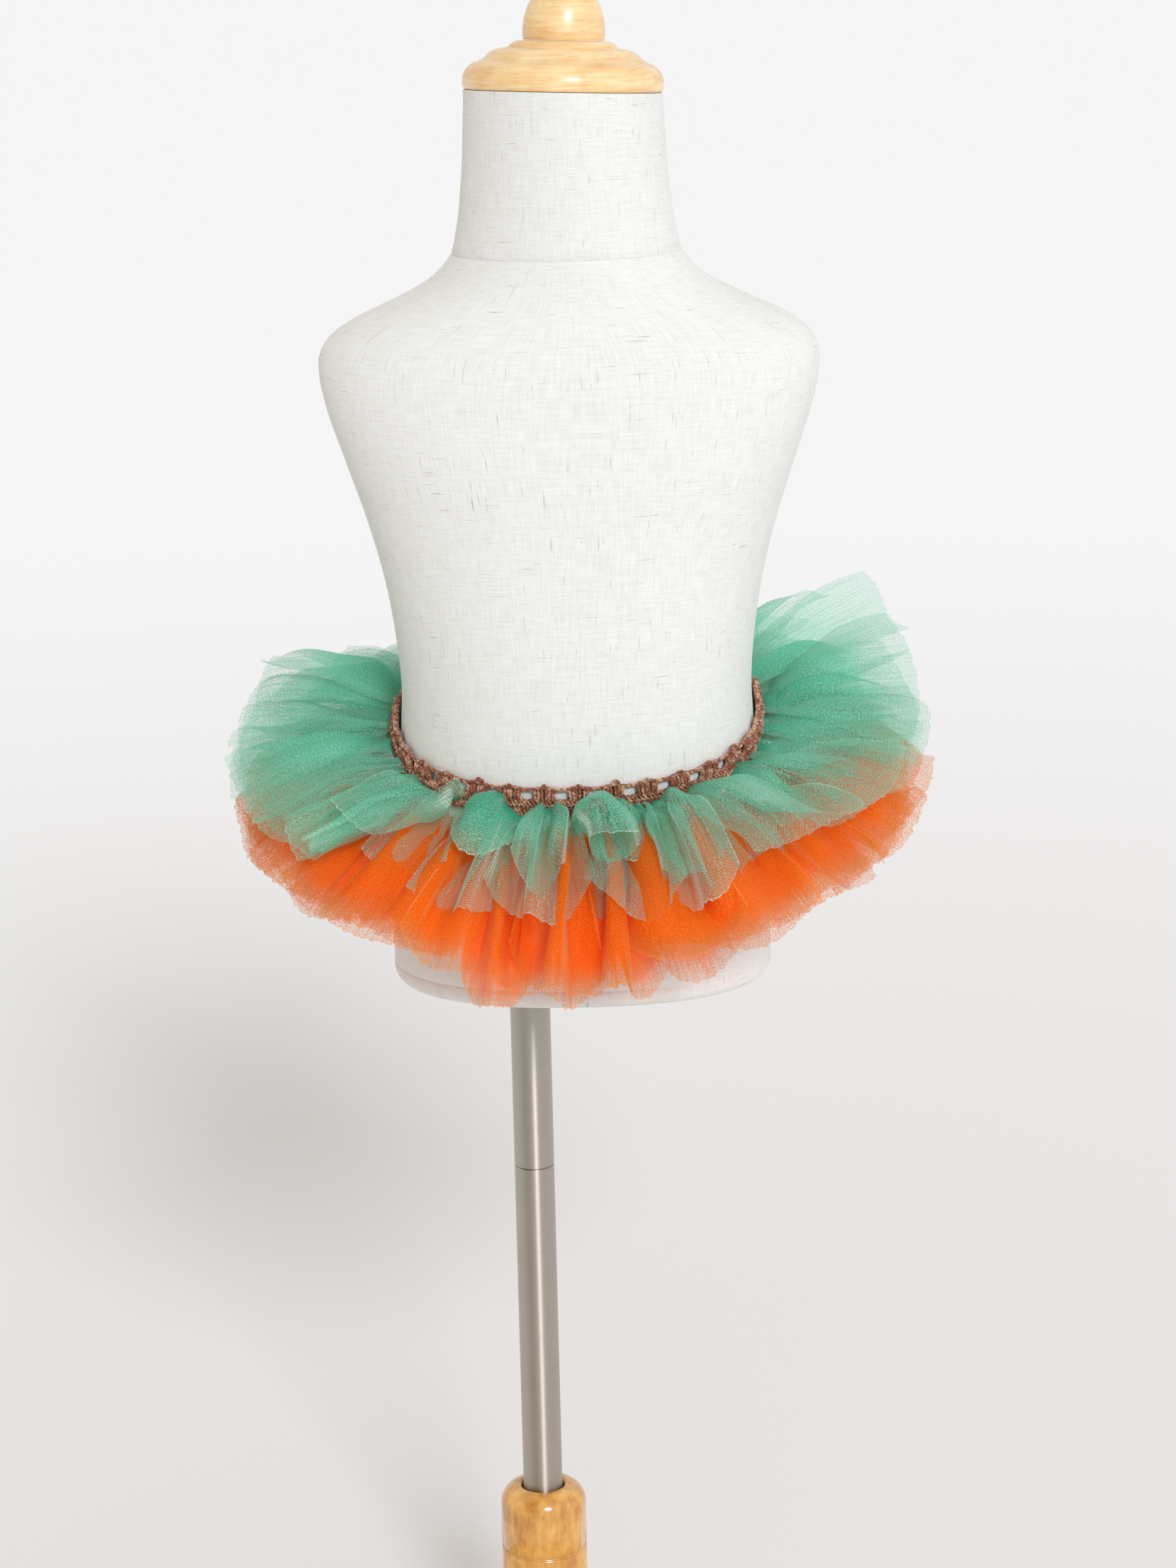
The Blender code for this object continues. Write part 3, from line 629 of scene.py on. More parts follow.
def wrap_repeats(material):
    """A node tree that lays repeats end to end and wraps them round the waistline curve."""
    tree = bpy.data.node_groups.new("crochet round the waist", "GeometryNodeTree")
    for label, kind in (("Geometry", "Geometry"), ("Repeats", "Int"), ("Pitch", "Float"),
                        ("Standoff", "Float"), ("Waistline", "Object")):
        tree.interface.new_socket(label, in_out="INPUT", socket_type="NodeSocket" + kind)
    tree.interface.new_socket("Geometry", in_out="OUTPUT", socket_type="NodeSocketGeometry")
    given = add_node(tree, "NodeGroupInput").outputs
    stride = add_node(tree, "CombineXYZ", links={"X": given["Pitch"]})
    line = add_node(tree, "GeometryNodeMeshLine", links={"Count": given["Repeats"], "Offset": stride})
    laid = add_node(tree, "GeometryNodeInstanceOnPoints",
            links={"Points": line, "Instance": given["Geometry"]})
    real = add_node(tree, "GeometryNodeRealizeInstances", links={"Geometry": laid})
    place = add_node(tree, "GeometryNodeInputPosition")
    parts = add_node(tree, "SeparateXYZ", links={"Vector": place})
    total = add_node(tree, "Math", links={0: given["Repeats"], 1: given["Pitch"]}, operation="MULTIPLY")
    along = add_node(tree, "Math", links={0: parts.outputs["X"], 1: total}, operation="FLOORED_MODULO")
    guide = add_node(tree, "GeometryNodeObjectInfo", links={"Object": given["Waistline"]})
    sample = add_node(tree, "GeometryNodeSampleCurve",
            links={"Curves": guide.outputs["Geometry"], "Length": along}, mode="LENGTH")
    outward = add_node(tree, "VectorMath", {1: (0, 0, 1)}, {0: sample.outputs["Tangent"]},
            operation="CROSS_PRODUCT")
    unit = add_node(tree, "VectorMath", links={0: outward}, operation="NORMALIZE")
    off = add_node(tree, "Math", links={0: parts.outputs["Z"], 1: given["Standoff"]}, operation="ADD")
    push = add_node(tree, "VectorMath", links={0: unit, "Scale": off}, operation="SCALE")
    climb = add_node(tree, "CombineXYZ", links={"Z": parts.outputs["Y"]})
    lifted = add_node(tree, "VectorMath", links={0: push, 1: climb}, operation="ADD")
    moved = add_node(tree, "VectorMath", links={0: sample.outputs["Position"], 1: lifted}, operation="ADD")
    wrapped = add_node(tree, "GeometryNodeSetPosition", links={"Geometry": real, "Position": moved})
    painted = add_node(tree, "GeometryNodeSetMaterial", {"Material": material}, {"Geometry": wrapped})
    add_node(tree, "NodeGroupOutput", links={"Geometry": painted})
    return tree


def apply_tree(piece, tree, inputs):
    """Runs a node tree on a piece once and keeps its plain mesh."""
    modifier = piece.modifiers.new("tree", "NODES")
    modifier.node_group = tree
    for item in tree.interface.items_tree:
        if item.item_type == "SOCKET" and item.in_out == "INPUT" and item.name in inputs:
            modifier[item.identifier] = inputs[item.name]
    bpy.context.view_layer.update()
    shown = piece.evaluated_get(bpy.context.evaluated_depsgraph_get())
    mesh = bpy.data.meshes.new_from_object(shown)
    piece.modifiers.clear()
    piece.data = mesh
    return piece


def crochet_yarn(name):
    """Mercerised cotton yarn: brown and two-ply, with random pale patches of painted highlight and
    painted shade in the hollows between the plies and on the core. The twist is bump, too fine to model."""
    material, tree = start_material(name)
    place = add_node(tree, "TexCoord").outputs["Object"]
    plies = add_node(tree, "TexNoise", {"Scale": 1400, "Detail": 2}, {"Vector": place})
    patches = add_node(tree, "TexNoise", {"Scale": 300, "Detail": 2, "Roughness": 0.6}, {"Vector": place})
    # Painted highlight: random patches are mixed towards the pale tint.
    light = add_node(tree, "MapRange", {"From Min": 0.48, "From Max": 0.58}, {"Value": patches})
    colour = add_node(tree, "Mix", {6: linear(YARN), 7: linear(YARN_PAINTED_HIGHLIGHT)}, {0: light}, data_type="RGBA")
    # Painted shade: the core and the hollows between the plies are mixed towards dark brown.
    core = add_node(tree, "Attribute", attribute_name="core").outputs["Fac"]
    ply_hollow_shade = add_node(tree, "MapRange", {"From Min": 0.56, "From Max": 0.40, "To Max": 0.7},
            {"Value": plies})
    deep = add_node(tree, "Math", links={0: ply_hollow_shade, 1: core}, operation="MAXIMUM")
    toned = add_node(tree, "Mix", {7: linear(YARN_PAINTED_SHADE)}, {0: deep, 6: colour.outputs[2]}, data_type="RGBA")
    bump = add_node(tree, "Bump", {"Strength": 0.5, "Distance": 0.0004}, {"Height": plies})
    shader = add_node(tree, "BsdfPrincipled",
            {"Roughness": 0.62, "Sheen Weight": 0.3, "Sheen Roughness": 0.4},
            {"Base Color": toned.outputs[2], "Normal": bump})
    add_node(tree, "OutputMaterial", links={"Surface": shader})
    return material


waist_angles = np.linspace(-math.pi / 2, 1.5 * math.pi, 481)
waist_points = [waist_place(a) for a in waist_angles]
waist_steps = [(b - a).length for a, b in zip(waist_points, waist_points[1:])]
waist_lengths = np.concatenate([[0.0], np.cumsum(waist_steps)])
WAIST_ROUND = float(waist_lengths[-1])
BAND_PITCH = WAIST_ROUND / BAND_EYELETS

waist_curve = bpy.data.curves.new("waistline", "CURVE")
waist_curve.dimensions = "3D"
waist_spline = waist_curve.splines.new("POLY")
waist_spline.points.add(len(waist_points) - 2)
for point, spot in zip(waist_spline.points, waist_points[:-1]):
    point.co = (*spot, 1)
waist_spline.use_cyclic_u = True
waistline = add_object("waistline", waist_curve)

yarn = crochet_yarn("brown crochet cotton")
crochet = crochet_repeat(BAND_PITCH, BAND_CELLS, random.Random(BAND_SEED))
band = add_object("crochet_waistband", crochet)
apply_tree(band, wrap_repeats(yarn), {
    "Repeats": BAND_EYELETS // BAND_CELLS, "Pitch": BAND_PITCH * BAND_CELLS,
    "Standoff": BAND_STANDOFF, "Waistline": waistline})
bpy.data.objects.remove(waistline)
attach(band, "root")
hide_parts("waistband_front", "waistband_back")

# Tulle skirt
# Strips of soft nylon tulle, cut 15 cm wide, are folded in half and pulled through the
# band's lower stitches. Each leaves a rounded, gathered head and two tails that fan out in
# a few soft folds. The green strips lie over the orange ones, which hang lower.
CUT_ALLOWANCE = 1.1
STRIPS = 24
TAIL_ROWS = 22
TAIL_COLUMNS = 64
HEAD_WIDTHS = (0.0330, 0.0180)
TIGHTEST_FOLDS = 0.33
HEAD_STANDOFF = 0.0042
HEAD_ARCHES = (0.0025, 0.0055)
HEAD_LIFTS = (-8.0, 34.0)
HEAD_TURN = 0.004
TAIL_GAP = 0.0032
CLOTH_GAP = 0.0016
BODY_DENSITY = 0.46
NET_MM = (1.25, 1.05)
NET_THREAD_MM = 0.20
STREAK_MM = (1.3, 45.0)
MOIRE_MM = 1.0
GREEN = "93EACB"
# Painted highlight tint of the green net.
GREEN_PAINTED_HIGHLIGHT = "E6FAF0"
GREEN_DEEP = "5CCDAC"
GREEN_THIN = "86D8BA"
GREEN_HEAD = "33BE99"
GREEN_COVER = 0.88
ORANGE = "FF8410"
# Painted highlight tint of the orange net.
ORANGE_PAINTED_HIGHLIGHT = "FFA65A"
ORANGE_DEEP = "FF6C04"
ORANGE_THIN = "EA8A30"
ORANGE_HEAD = "FF760C"
ORANGE_COVER = 0.92
SKIRT_SEED = 5

# How the skirt stands out round the waist: azimuth (0 is +X, 270 the front), and for each
# colour the slope at the waist and at the hem in degrees (up is positive), the length, and
# how wide the tails spread at the hem.
SKIRT_STANCE = (
    ("azimuth", "green_root", "green_hem", "green_length", "orange_root", "orange_hem", "orange_length",
     "spread"),
    (0.0, 12.0, -12.0, 0.090, -6.0, -28.0, 0.086, 0.104),
    (20.0, 22.0, 2.0, 0.094, -3.0, -21.0, 0.088, 0.106),
    (40.0, 19.0, -3.0, 0.092, 0.0, -16.0, 0.092, 0.106),
    (75.0, 18.0, -3.0, 0.094, -2.0, -19.0, 0.094, 0.102),
    (105.0, 16.0, -5.0, 0.094, -3.0, -21.0, 0.094, 0.102),
    (135.0, 10.0, -12.0, 0.092, -6.0, -25.0, 0.092, 0.106),
    (160.0, 19.0, -6.0, 0.088, -8.0, -28.0, 0.092, 0.104),
    (180.0, 12.0, -16.0, 0.089, -10.0, -32.0, 0.090, 0.102),
    (225.0, 5.0, -24.0, 0.080, -17.0, -43.0, 0.088, 0.084),
    (270.0, 4.0, -44.0, 0.084, -23.0, -51.0, 0.108, 0.054),
    (315.0, 7.0, -27.0, 0.086, -15.0, -41.0, 0.089, 0.084),
    (360.0, 12.0, -12.0, 0.090, -6.0, -28.0, 0.086, 0.104),
)


def stance(name, azimuth):
    """A column of the skirt's stance at an azimuth in degrees, eased between the rows."""
    azimuths = column(SKIRT_STANCE, "azimuth")
    values = column(SKIRT_STANCE, name)
    azimuth %= 360
    i = min(int(np.searchsorted(azimuths, azimuth, side="right")) - 1, len(azimuths) - 2)
    share = (azimuth - azimuths[i]) / (azimuths[i + 1] - azimuths[i])
    return float(values[i] + (values[i + 1] - values[i]) * eased(share))


def between(pair, share):
    """The value at a share of the way from a pair's first to its second."""
    return pair[0] + (pair[1] - pair[0]) * share


def hem_tilt(colour, azimuth):
    """How much a hem must tilt sideways, in degrees, to meet its neighbours' hems."""
    spots = []
    for side in (azimuth - 8, azimuth + 8):
        angle = math.radians(side)
        slope = math.radians((stance(colour + "_root", side) + stance(colour + "_hem", side)) / 2)
        flat = math.cos(slope)
        out = Vector((math.cos(angle) * flat, math.sin(angle) * flat, math.sin(slope)))
        spots.append(waist_place(angle) + stance(colour + "_length", side) * out)
    return math.degrees(math.atan2(spots[1].z - spots[0].z, (spots[1].xy - spots[0].xy).length))


def tulle(name, thread, pale, deep, thin, head, cover):
    """Soft nylon tulle: a hexagon net of fine thread that light shines through. Towards the
    head the gathers lie closer and it is nearly solid; at the hem it is see-through. Where
    a fold stands edge-on, or the cut edge curls, the threads close up and the net is more opaque,
    and there a pale highlight is painted into its colour; speckled glints are painted across the net.
    The net is drawn a little coarse so that it shows. A thread hides the cover's share."""
    material, tree = start_material(name)
    cloth = add_node(tree, "UVMap", uv_map="cloth")
    wander = add_node(tree, "TexNoise", {"Scale": 60, "Detail": 2}, {"Vector": cloth})
    bent = add_node(tree, "Mix", {0: 0.004}, {4: cloth, 5: wander.outputs["Color"]}, data_type="VECTOR")
    sized = add_node(tree, "Mapping", {"Scale": (1000, 1000, 1)}, {"Vector": bent.outputs[1]})
    net = add_node(tree, "TexBrick",
            {"Scale": 1.0, "Mortar Size": NET_THREAD_MM / 2, "Mortar Smooth": 0.3,
             "Brick Width": NET_MM[0], "Row Height": NET_MM[1]},
            {"Vector": sized}, offset=0.5, offset_frequency=2)
    drawn_out = add_node(tree, "Mapping", {"Scale": (1000 / STREAK_MM[0], 1000 / STREAK_MM[1], 1)},
            {"Vector": cloth})
    streaks = add_node(tree, "TexNoise", {"Scale": 1.0, "Detail": 3, "Roughness": 0.6},
            {"Vector": drawn_out})
    crest = add_node(tree, "Attribute", attribute_name="crest").outputs["Fac"]
    gather = add_node(tree, "Attribute", attribute_name="gather").outputs["Fac"]
    moire = add_node(tree, "TexNoise", {"Scale": 1 / MOIRE_MM, "Detail": 1}, {"Vector": sized})
    speckle = add_node(tree, "MapRange",
            {"From Min": 0.40, "From Max": 0.62, "To Min": -0.5, "To Max": 0.5}, {"Value": moire})
    streaked = add_node(tree, "MapRange",
            {"From Min": 0.36, "From Max": 0.64, "To Min": -0.26, "To Max": 0.26}, {"Value": streaks})
    veil = add_node(tree, "Math", {1: 0.50}, {0: speckle, 2: streaked}, operation="MULTIPLY_ADD")
    calm = add_node(tree, "MapRange", {"From Min": 0.35, "From Max": 0.85, "To Min": 1.0, "To Max": 0.2},
            {"Value": gather})
    calmed = add_node(tree, "Math", links={0: veil, 1: calm}, operation="MULTIPLY")
    crested = add_node(tree, "Math", {1: 0.40}, {0: crest, 2: calmed}, operation="MULTIPLY_ADD")
    dense = add_node(tree, "Math", links={0: gather, 1: crested}, operation="ADD", use_clamp=True)
    open_part = add_node(tree, "Math", {0: 1.0}, {1: dense}, operation="SUBTRACT", use_clamp=True)
    hole = add_node(tree, "Math", {1: -cover, 2: 1.0}, {0: net.outputs["Fac"]}, operation="MULTIPLY_ADD",
            use_clamp=True)
    through = add_node(tree, "Math", links={0: open_part, 1: hole}, operation="MULTIPLY", use_clamp=True)
    shade = add_node(tree, "MapRange", {"From Min": 0.40, "From Max": 0.70, "To Max": 0.8},
            {"Value": streaks})
    ground = add_node(tree, "Mix", {6: linear(thread), 7: linear(deep)}, {0: shade}, data_type="RGBA")
    # Painted highlight: fold crests, cut edges and speckled glints mix the thread's colour towards a pale
    # tint.
    painted_glint = add_node(tree, "Math", {1: 0.45}, {0: speckle}, operation="MULTIPLY")
    painted_fold_highlight = add_node(tree, "Math", {1: 0.95}, {0: crest, 2: painted_glint}, operation="MULTIPLY_ADD",
            use_clamp=True)
    closed_up = add_node(tree, "MapRange", {"From Min": 0.22, "From Max": 0.55}, {"Value": gather})
    body = add_node(tree, "Mix", {6: linear(thin)}, {0: closed_up, 7: ground.outputs[2]}, data_type="RGBA")
    bunched = add_node(tree, "MapRange", {"From Min": 0.45, "From Max": 0.80}, {"Value": gather})
    toned = add_node(tree, "Mix", {7: linear(head)}, {0: bunched, 6: body.outputs[2]}, data_type="RGBA")
    colour = add_node(tree, "Mix", {7: linear(pale)}, {0: painted_fold_highlight, 6: toned.outputs[2]}, data_type="RGBA")
    front = add_node(tree, "BsdfPrincipled",
            {"Roughness": 0.6, "Sheen Weight": 0.06, "Sheen Roughness": 0.4, "Specular IOR Level": 0.12},
            {"Base Color": colour.outputs[2]})
    glow = add_node(tree, "BsdfTranslucent", links={"Color": colour.outputs[2]})
    thread_shader = add_node(tree, "MixShader", {0: 0.42}, {1: front, 2: glow})
    clear = add_node(tree, "BsdfTransparent")
    shader = add_node(tree, "MixShader", links={0: through, 1: thread_shader, 2: clear})
    add_node(tree, "OutputMaterial", links={"Surface": shader})
    return material


def folds_across(folds, phase, rough, curl, width, cloth_width, edge):
    """Where points spaced evenly across the cloth lie when it is pushed together to a width:
    the cloth that takes, their place across, their height, and where it stands edge-on."""
    share = np.linspace(0, 1, TAIL_COLUMNS)
    wavy = share + 0.06 * np.sin(2 * math.pi * 1.3 * share + rough[0])
    wavy += 0.02 * np.sin(2 * math.pi * 3.1 * share + rough[1])
    size = 1 + 0.30 * np.sin(2 * math.pi * 0.9 * share + rough[2])
    wave = size * np.sin(2 * math.pi * folds * wavy + phase)
    wave += 0.12 * np.sin(2 * math.pi * 2.6 * folds * share + rough[3])
    bend = curl * (2 * share - 1)
    steepest = np.linspace(0.05, 2.2, 50)
    widths = np.array([np.cos(s * wave + bend).mean() for s in steepest])
    stop = int(np.argmin(widths)) + 1
    ratio = min(width / cloth_width, float(widths[:stop].max()))
    ratio = max(ratio, TIGHTEST_FOLDS, float(widths.min()) + 0.02)
    best = float(np.interp(-ratio, -widths[:stop], steepest[:stop]))
    cloth_width = min(width / ratio, cloth_width)
    step = cloth_width / (TAIL_COLUMNS - 1)
    heading = best * wave + bend
    across = np.concatenate([[0], np.cumsum(np.cos(heading[:-1]) * step)])
    height = np.concatenate([[0], np.cumsum(np.sin(heading[:-1]) * step)])
    across -= (across[0] + across[-1]) / 2
    height -= np.linspace(height[0], height[-1], TAIL_COLUMNS)
    height -= height.mean()
    crest = np.exp(-(np.cos(heading) / 0.24) ** 2)
    crest[0] = crest[-1] = edge
    return cloth_width, across, height, crest


def tail(seat, out_way, look, rough):
    """One tail of a strip, from its head to its hem, as a grid of points with crest and gather."""
    up = Vector((0, 0, 1))
    out_way = Matrix.Rotation(math.radians(look["yaw"]), 3, "Z") @ out_way
    side_way = Vector((-out_way.y, out_way.x, 0))
    share = np.linspace(0, 1, TAIL_COLUMNS)
    ragged = 0.0004 * (np.sin(61 * share + rough[1]) + np.sin(97 * share + rough[2]))
    ragged += 0.0012 * np.sin(7 * share + rough[3])
    inner_share = 1 - look["soft"] * np.abs(2 * share - 1) ** 3
    grid = []
    crests = []
    gathers = []
    lengths = []
    out = rise = before = drawn = 0.0
    for row in range(TAIL_ROWS):
        v = 0.983 * (row / (TAIL_ROWS - 2)) ** 1.25 if row < TAIL_ROWS - 1 else 1.0
        step = (v - before) * look["length"]
        middle_v = (v + before) / 2
        slope = look["root"] + (look["hem"] - look["root"]) * middle_v
        slope += look["lift"] * math.exp(-middle_v / 0.040)
        slope = math.radians(slope)
        out += step * math.cos(slope)
        rise += step * math.sin(slope)
        width = look["head"] + (look["width"] - look["head"]) * v ** (0.64 + 0.28 * look["front"])
        opened = eased(min(1.0, v / 0.42))
        cloth_width = look["head"] * 1.2 + (look["cloth"] - look["head"] * 1.2) * opened
        cloth_width, across, height, crest = folds_across(
            look["folds"], look["phase"] + look["drift"] * v, rough, look["curl"] * min(1.0, v * 3),
            width, cloth_width, look["edge"])
        edge_share = across / (width / 2)
        arch = look["arch"] * math.exp(-((v - 0.06) / 0.14) ** 2) * (1 - np.minimum(edge_share ** 2, 2))
        droop = -look["bow"] * v ** 1.5 * edge_share ** 2
        ripple = 0.0018 * v * np.sin(9 * v + rough[4] + 4 * edge_share)
        lean = math.radians(look["roll"]) * min(1.0, v * 1.5)
        normal = up * math.cos(slope) - out_way * math.sin(slope)
        flat_side = side_way * math.cos(lean) + normal * math.sin(lean)
        flat_up = normal * math.cos(lean) - side_way * math.sin(lean)
        ahead_way = out_way * math.cos(slope) + up * math.sin(slope)
        longer = look["length"] * look["corner"] * v * edge_share ** 2 + ragged * max(0.0, v - 0.85) / 0.15
        middle = seat + out_way * out + up * rise
        points = np.array(middle)[None] + across[:, None] * np.array(flat_side)[None]
        points = points + (height + arch + droop + ripple)[:, None] * np.array(flat_up)[None]
        points = points + longer[:, None] * np.array(ahead_way)[None]
        grid.append(points)
        if row == TAIL_ROWS - 1:
            crest = np.maximum(crest, look["edge"])
        # The crest makes the net more opaque and carries its painted highlight.
        crests.append(crest * min(1.0, v * 2.5) * look["shine"])
        fade = eased(min(1.0, max(0.0, (v - look["fade"][0]) / (look["fade"][1] - look["fade"][0]))))
        bunch = (0.32 + 0.16 * look["front"]) * math.exp(-v / 0.16) + look["dense"] * (1 - fade)
        gathers.append(look["thin"] + bunch * inner_share)
        lengths.append(v * look["length"])
        drawn += cloth_width * (v - before)
        before = v
    return grid, crests, gathers, lengths, drawn


def clear_of_form(grid, solid, distance):
    """Moves points that lie in the form, or too near it, out to a distance from its surface."""
    for row in grid:
        for point in row:
            near, normal, _, gap = solid.find_nearest(Vector(point))
            side = (Vector(point) - near).dot(normal)
            if side < distance and gap < 0.05:
                point[:] = near + normal * distance
    return grid


def make_strip(name, along, looks, rough, material, solid, drop):
    """A whole strip: upper tail from its hem in to the head, round the stitch, lower tail out."""
    angle = float(np.interp(along % WAIST_ROUND, waist_lengths, waist_angles))
    way = waist_place(angle + 0.02) - waist_place(angle - 0.02)
    out_way = Vector((way.y, -way.x, 0)).normalized()
    seat = waist_place(angle) + out_way * HEAD_STANDOFF
    high = seat - Vector((0, 0, drop))
    low = seat - Vector((0, 0, drop + TAIL_GAP))
    upper, crest_u, gather_u, length_u, wide_u = tail(high, out_way, looks[0], rough)
    lower, crest_l, gather_l, length_l, wide_l = tail(low, out_way, looks[1], rough)
    cut_length = round(length_u[-1] + length_l[-1] + HEAD_TURN, 3)
    cut = (round(CUT_ALLOWANCE * (wide_u + wide_l) / 2, 3), cut_length)
    inner = []
    for step in (0.25, 0.5, 0.75):
        mixed = upper[0] * (1 - step) + lower[0] * step
        inner.append(mixed - np.array(out_way)[None] * CLOTH_GAP * math.sin(step * math.pi))
    grid = upper[::-1] + inner + lower
    crests = crest_u[::-1] + [crest_u[0]] * 3 + crest_l
    gathers = gather_u[::-1] + [gather_u[0]] * 3 + gather_l
    half = length_u[-1]
    lengths = [half - d for d in length_u[::-1]] + [half + 0.001 * k for k in (1, 2, 3)]
    lengths += [half + HEAD_TURN + d for d in length_l]
    grid = clear_of_form(grid, solid, CLOTH_GAP)
    uvs = [[(s * cut[0], d) for s in np.linspace(0, 1, TAIL_COLUMNS)] for d in lengths]
    mesh = grid_mesh(name, grid, uvs)
    for label, values in (("crest", crests), ("gather", gathers)):
        layer = mesh.attributes.new(label, "FLOAT", "POINT")
        layer.data.foreach_set("value", np.array(values, np.float32).ravel())
    mesh.materials.append(material)
    mesh.shade_smooth()
    piece = add_object(name, mesh)
    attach(piece, "root")
    return piece


# The tails that the photograph shows most plainly, by strip and tail (0 upper, 1 lower):
# values that replace the drawn ones.
GREEN_FOLDS = {
    (5, 0): {"yaw": 6, "root": 11, "hem": -18, "length": 0.080, "width": 0.084, "fade": (0.25, 0.60),
             "thin": 0.0},
    (5, 1): {"length": 0.050, "width": 0.060, "fade": (0.4, 0.9)},
    (6, 0): {"length": 0.084, "width": 0.086, "fade": (0.22, 0.60), "thin": 0.0},
    (6, 1): {"length": 0.052, "width": 0.060, "fade": (0.4, 0.9)},
    (7, 0): {"yaw": 2, "hem": -7, "width": 0.082, "fade": (0.40, 0.90)},
    (7, 1): {"length": 0.070, "width": 0.076, "hem": -10, "fade": (0.30, 0.80)},
    (8, 1): {"yaw": 0, "hem": -20},
    (9, 0): {"roll": 34, "root": 30, "hem": 12, "yaw": -13, "width": 0.050, "length": 0.099,
             "corner": -0.02},
    (9, 1): {"hem": -4, "root": 16, "length": 0.088},
    (10, 0): {"roll": -20, "root": 26, "hem": 8, "length": 0.088, "yaw": -6, "width": 0.070},
    (17, 0): {"root": 22, "hem": -2, "yaw": 2, "roll": 6, "length": 0.088, "width": 0.096,
              "corner": -0.22, "dense": 0.5, "fade": (0.6, 1.1)},
    (17, 1): {"root": 17, "hem": -8, "yaw": 6, "roll": -8, "length": 0.084, "width": 0.096,
              "corner": -0.12},
    (18, 0): {"width": 0.088},
    (20, 0): {"hem": -26, "length": 0.076, "dense": 0.16, "width": 0.070},
    (21, 0): {"root": 3, "hem": -34, "length": 0.078, "dense": 0.16, "width": 0.060},
    (21, 1): {"width": 0.034, "cloth": 0.070, "folds": 1.8, "dense": 0.5, "fade": (0.7, 1.0), "yaw": 2},
    (22, 0): {"yaw": -4, "root": 20, "hem": -14, "length": 0.064, "width": 0.066, "cloth": 0.075,
              "folds": 1.0, "roll": 6, "dense": 0.20, "soft": 0.0, "edge": 1.0, "shine": 1.0},
    (22, 1): {"yaw": 8, "root": -4, "hem": -44, "length": 0.052, "width": 0.050, "dense": 0.1},
    (23, 0): {"shift": 0.008, "yaw": -2, "root": 26, "hem": -64, "length": 0.046, "width": 0.034,
              "curl": -1.7, "folds": 0.8, "dense": 0.62, "fade": (0.7, 1.4), "roll": 10},
    (23, 1): {"yaw": -10, "hem": -52, "length": 0.074, "width": 0.050},
    (24, 0): {"shift": 0.009, "yaw": -3, "root": 14, "hem": -68, "length": 0.066, "width": 0.024,
              "curl": -0.6, "folds": 1.5, "dense": 0.44, "fade": (0.5, 1.0)},
    (24, 1): {"yaw": -2, "width": 0.056, "length": 0.084},
    (1, 0): {"shift": 0.006, "yaw": 14, "root": 20, "hem": -34, "length": 0.054, "width": 0.032,
             "curl": -3.25, "folds": 0.5, "roll": -14, "dense": 0.40, "fade": (0.6, 1.3), "phase": 0.0,
             "drift": 0.0},
    (1, 1): {"yaw": 0, "root": -18, "hem": -62, "length": 0.062, "width": 0.044, "cloth": 0.055,
             "folds": 1.2, "fade": (0.3, 0.9)},
    (2, 0): {"yaw": -1, "root": 4, "hem": -60, "length": 0.044, "width": 0.022},
    (2, 1): {"yaw": -2, "width": 0.056},
    (3, 0): {"shift": -0.005, "yaw": -1, "root": 14, "hem": -60, "length": 0.092, "width": 0.036,
             "curl": 0.8, "folds": 1.0, "dense": 0.34, "fade": (0.2, 0.8)},
    (3, 1): {"yaw": 6, "root": 0, "hem": -40, "length": 0.066, "width": 0.046},
    (4, 0): {"shift": -0.006, "yaw": 14, "root": 14, "hem": -18, "length": 0.092, "width": 0.080,
             "folds": 0.8, "dense": 0.40, "fade": (0.25, 1.0)},
    (4, 1): {"yaw": 6, "root": 2, "hem": -40, "length": 0.056, "width": 0.050, "dense": 0.16},
}
ORANGE_FOLDS = {
    (23, 1): {"length": 0.113, "width": 0.036, "cloth": 0.058, "yaw": 8, "fade": (0.85, 1.05)},
}

green_tulle = tulle("green nylon tulle", GREEN, GREEN_PAINTED_HIGHLIGHT, GREEN_DEEP, GREEN_THIN, GREEN_HEAD,
                    GREEN_COVER)
orange_tulle = tulle("orange nylon tulle", ORANGE, ORANGE_PAINTED_HIGHLIGHT, ORANGE_DEEP, ORANGE_THIN, ORANGE_HEAD,
                     ORANGE_COVER)
form_shape = bmesh.new()
form_shape.from_mesh(torso_mesh)
form_solid = BVHTree.FromBMesh(form_shape)
form_shape.free()
rng = random.Random(SKIRT_SEED)
strip_pitch = WAIST_ROUND / STRIPS

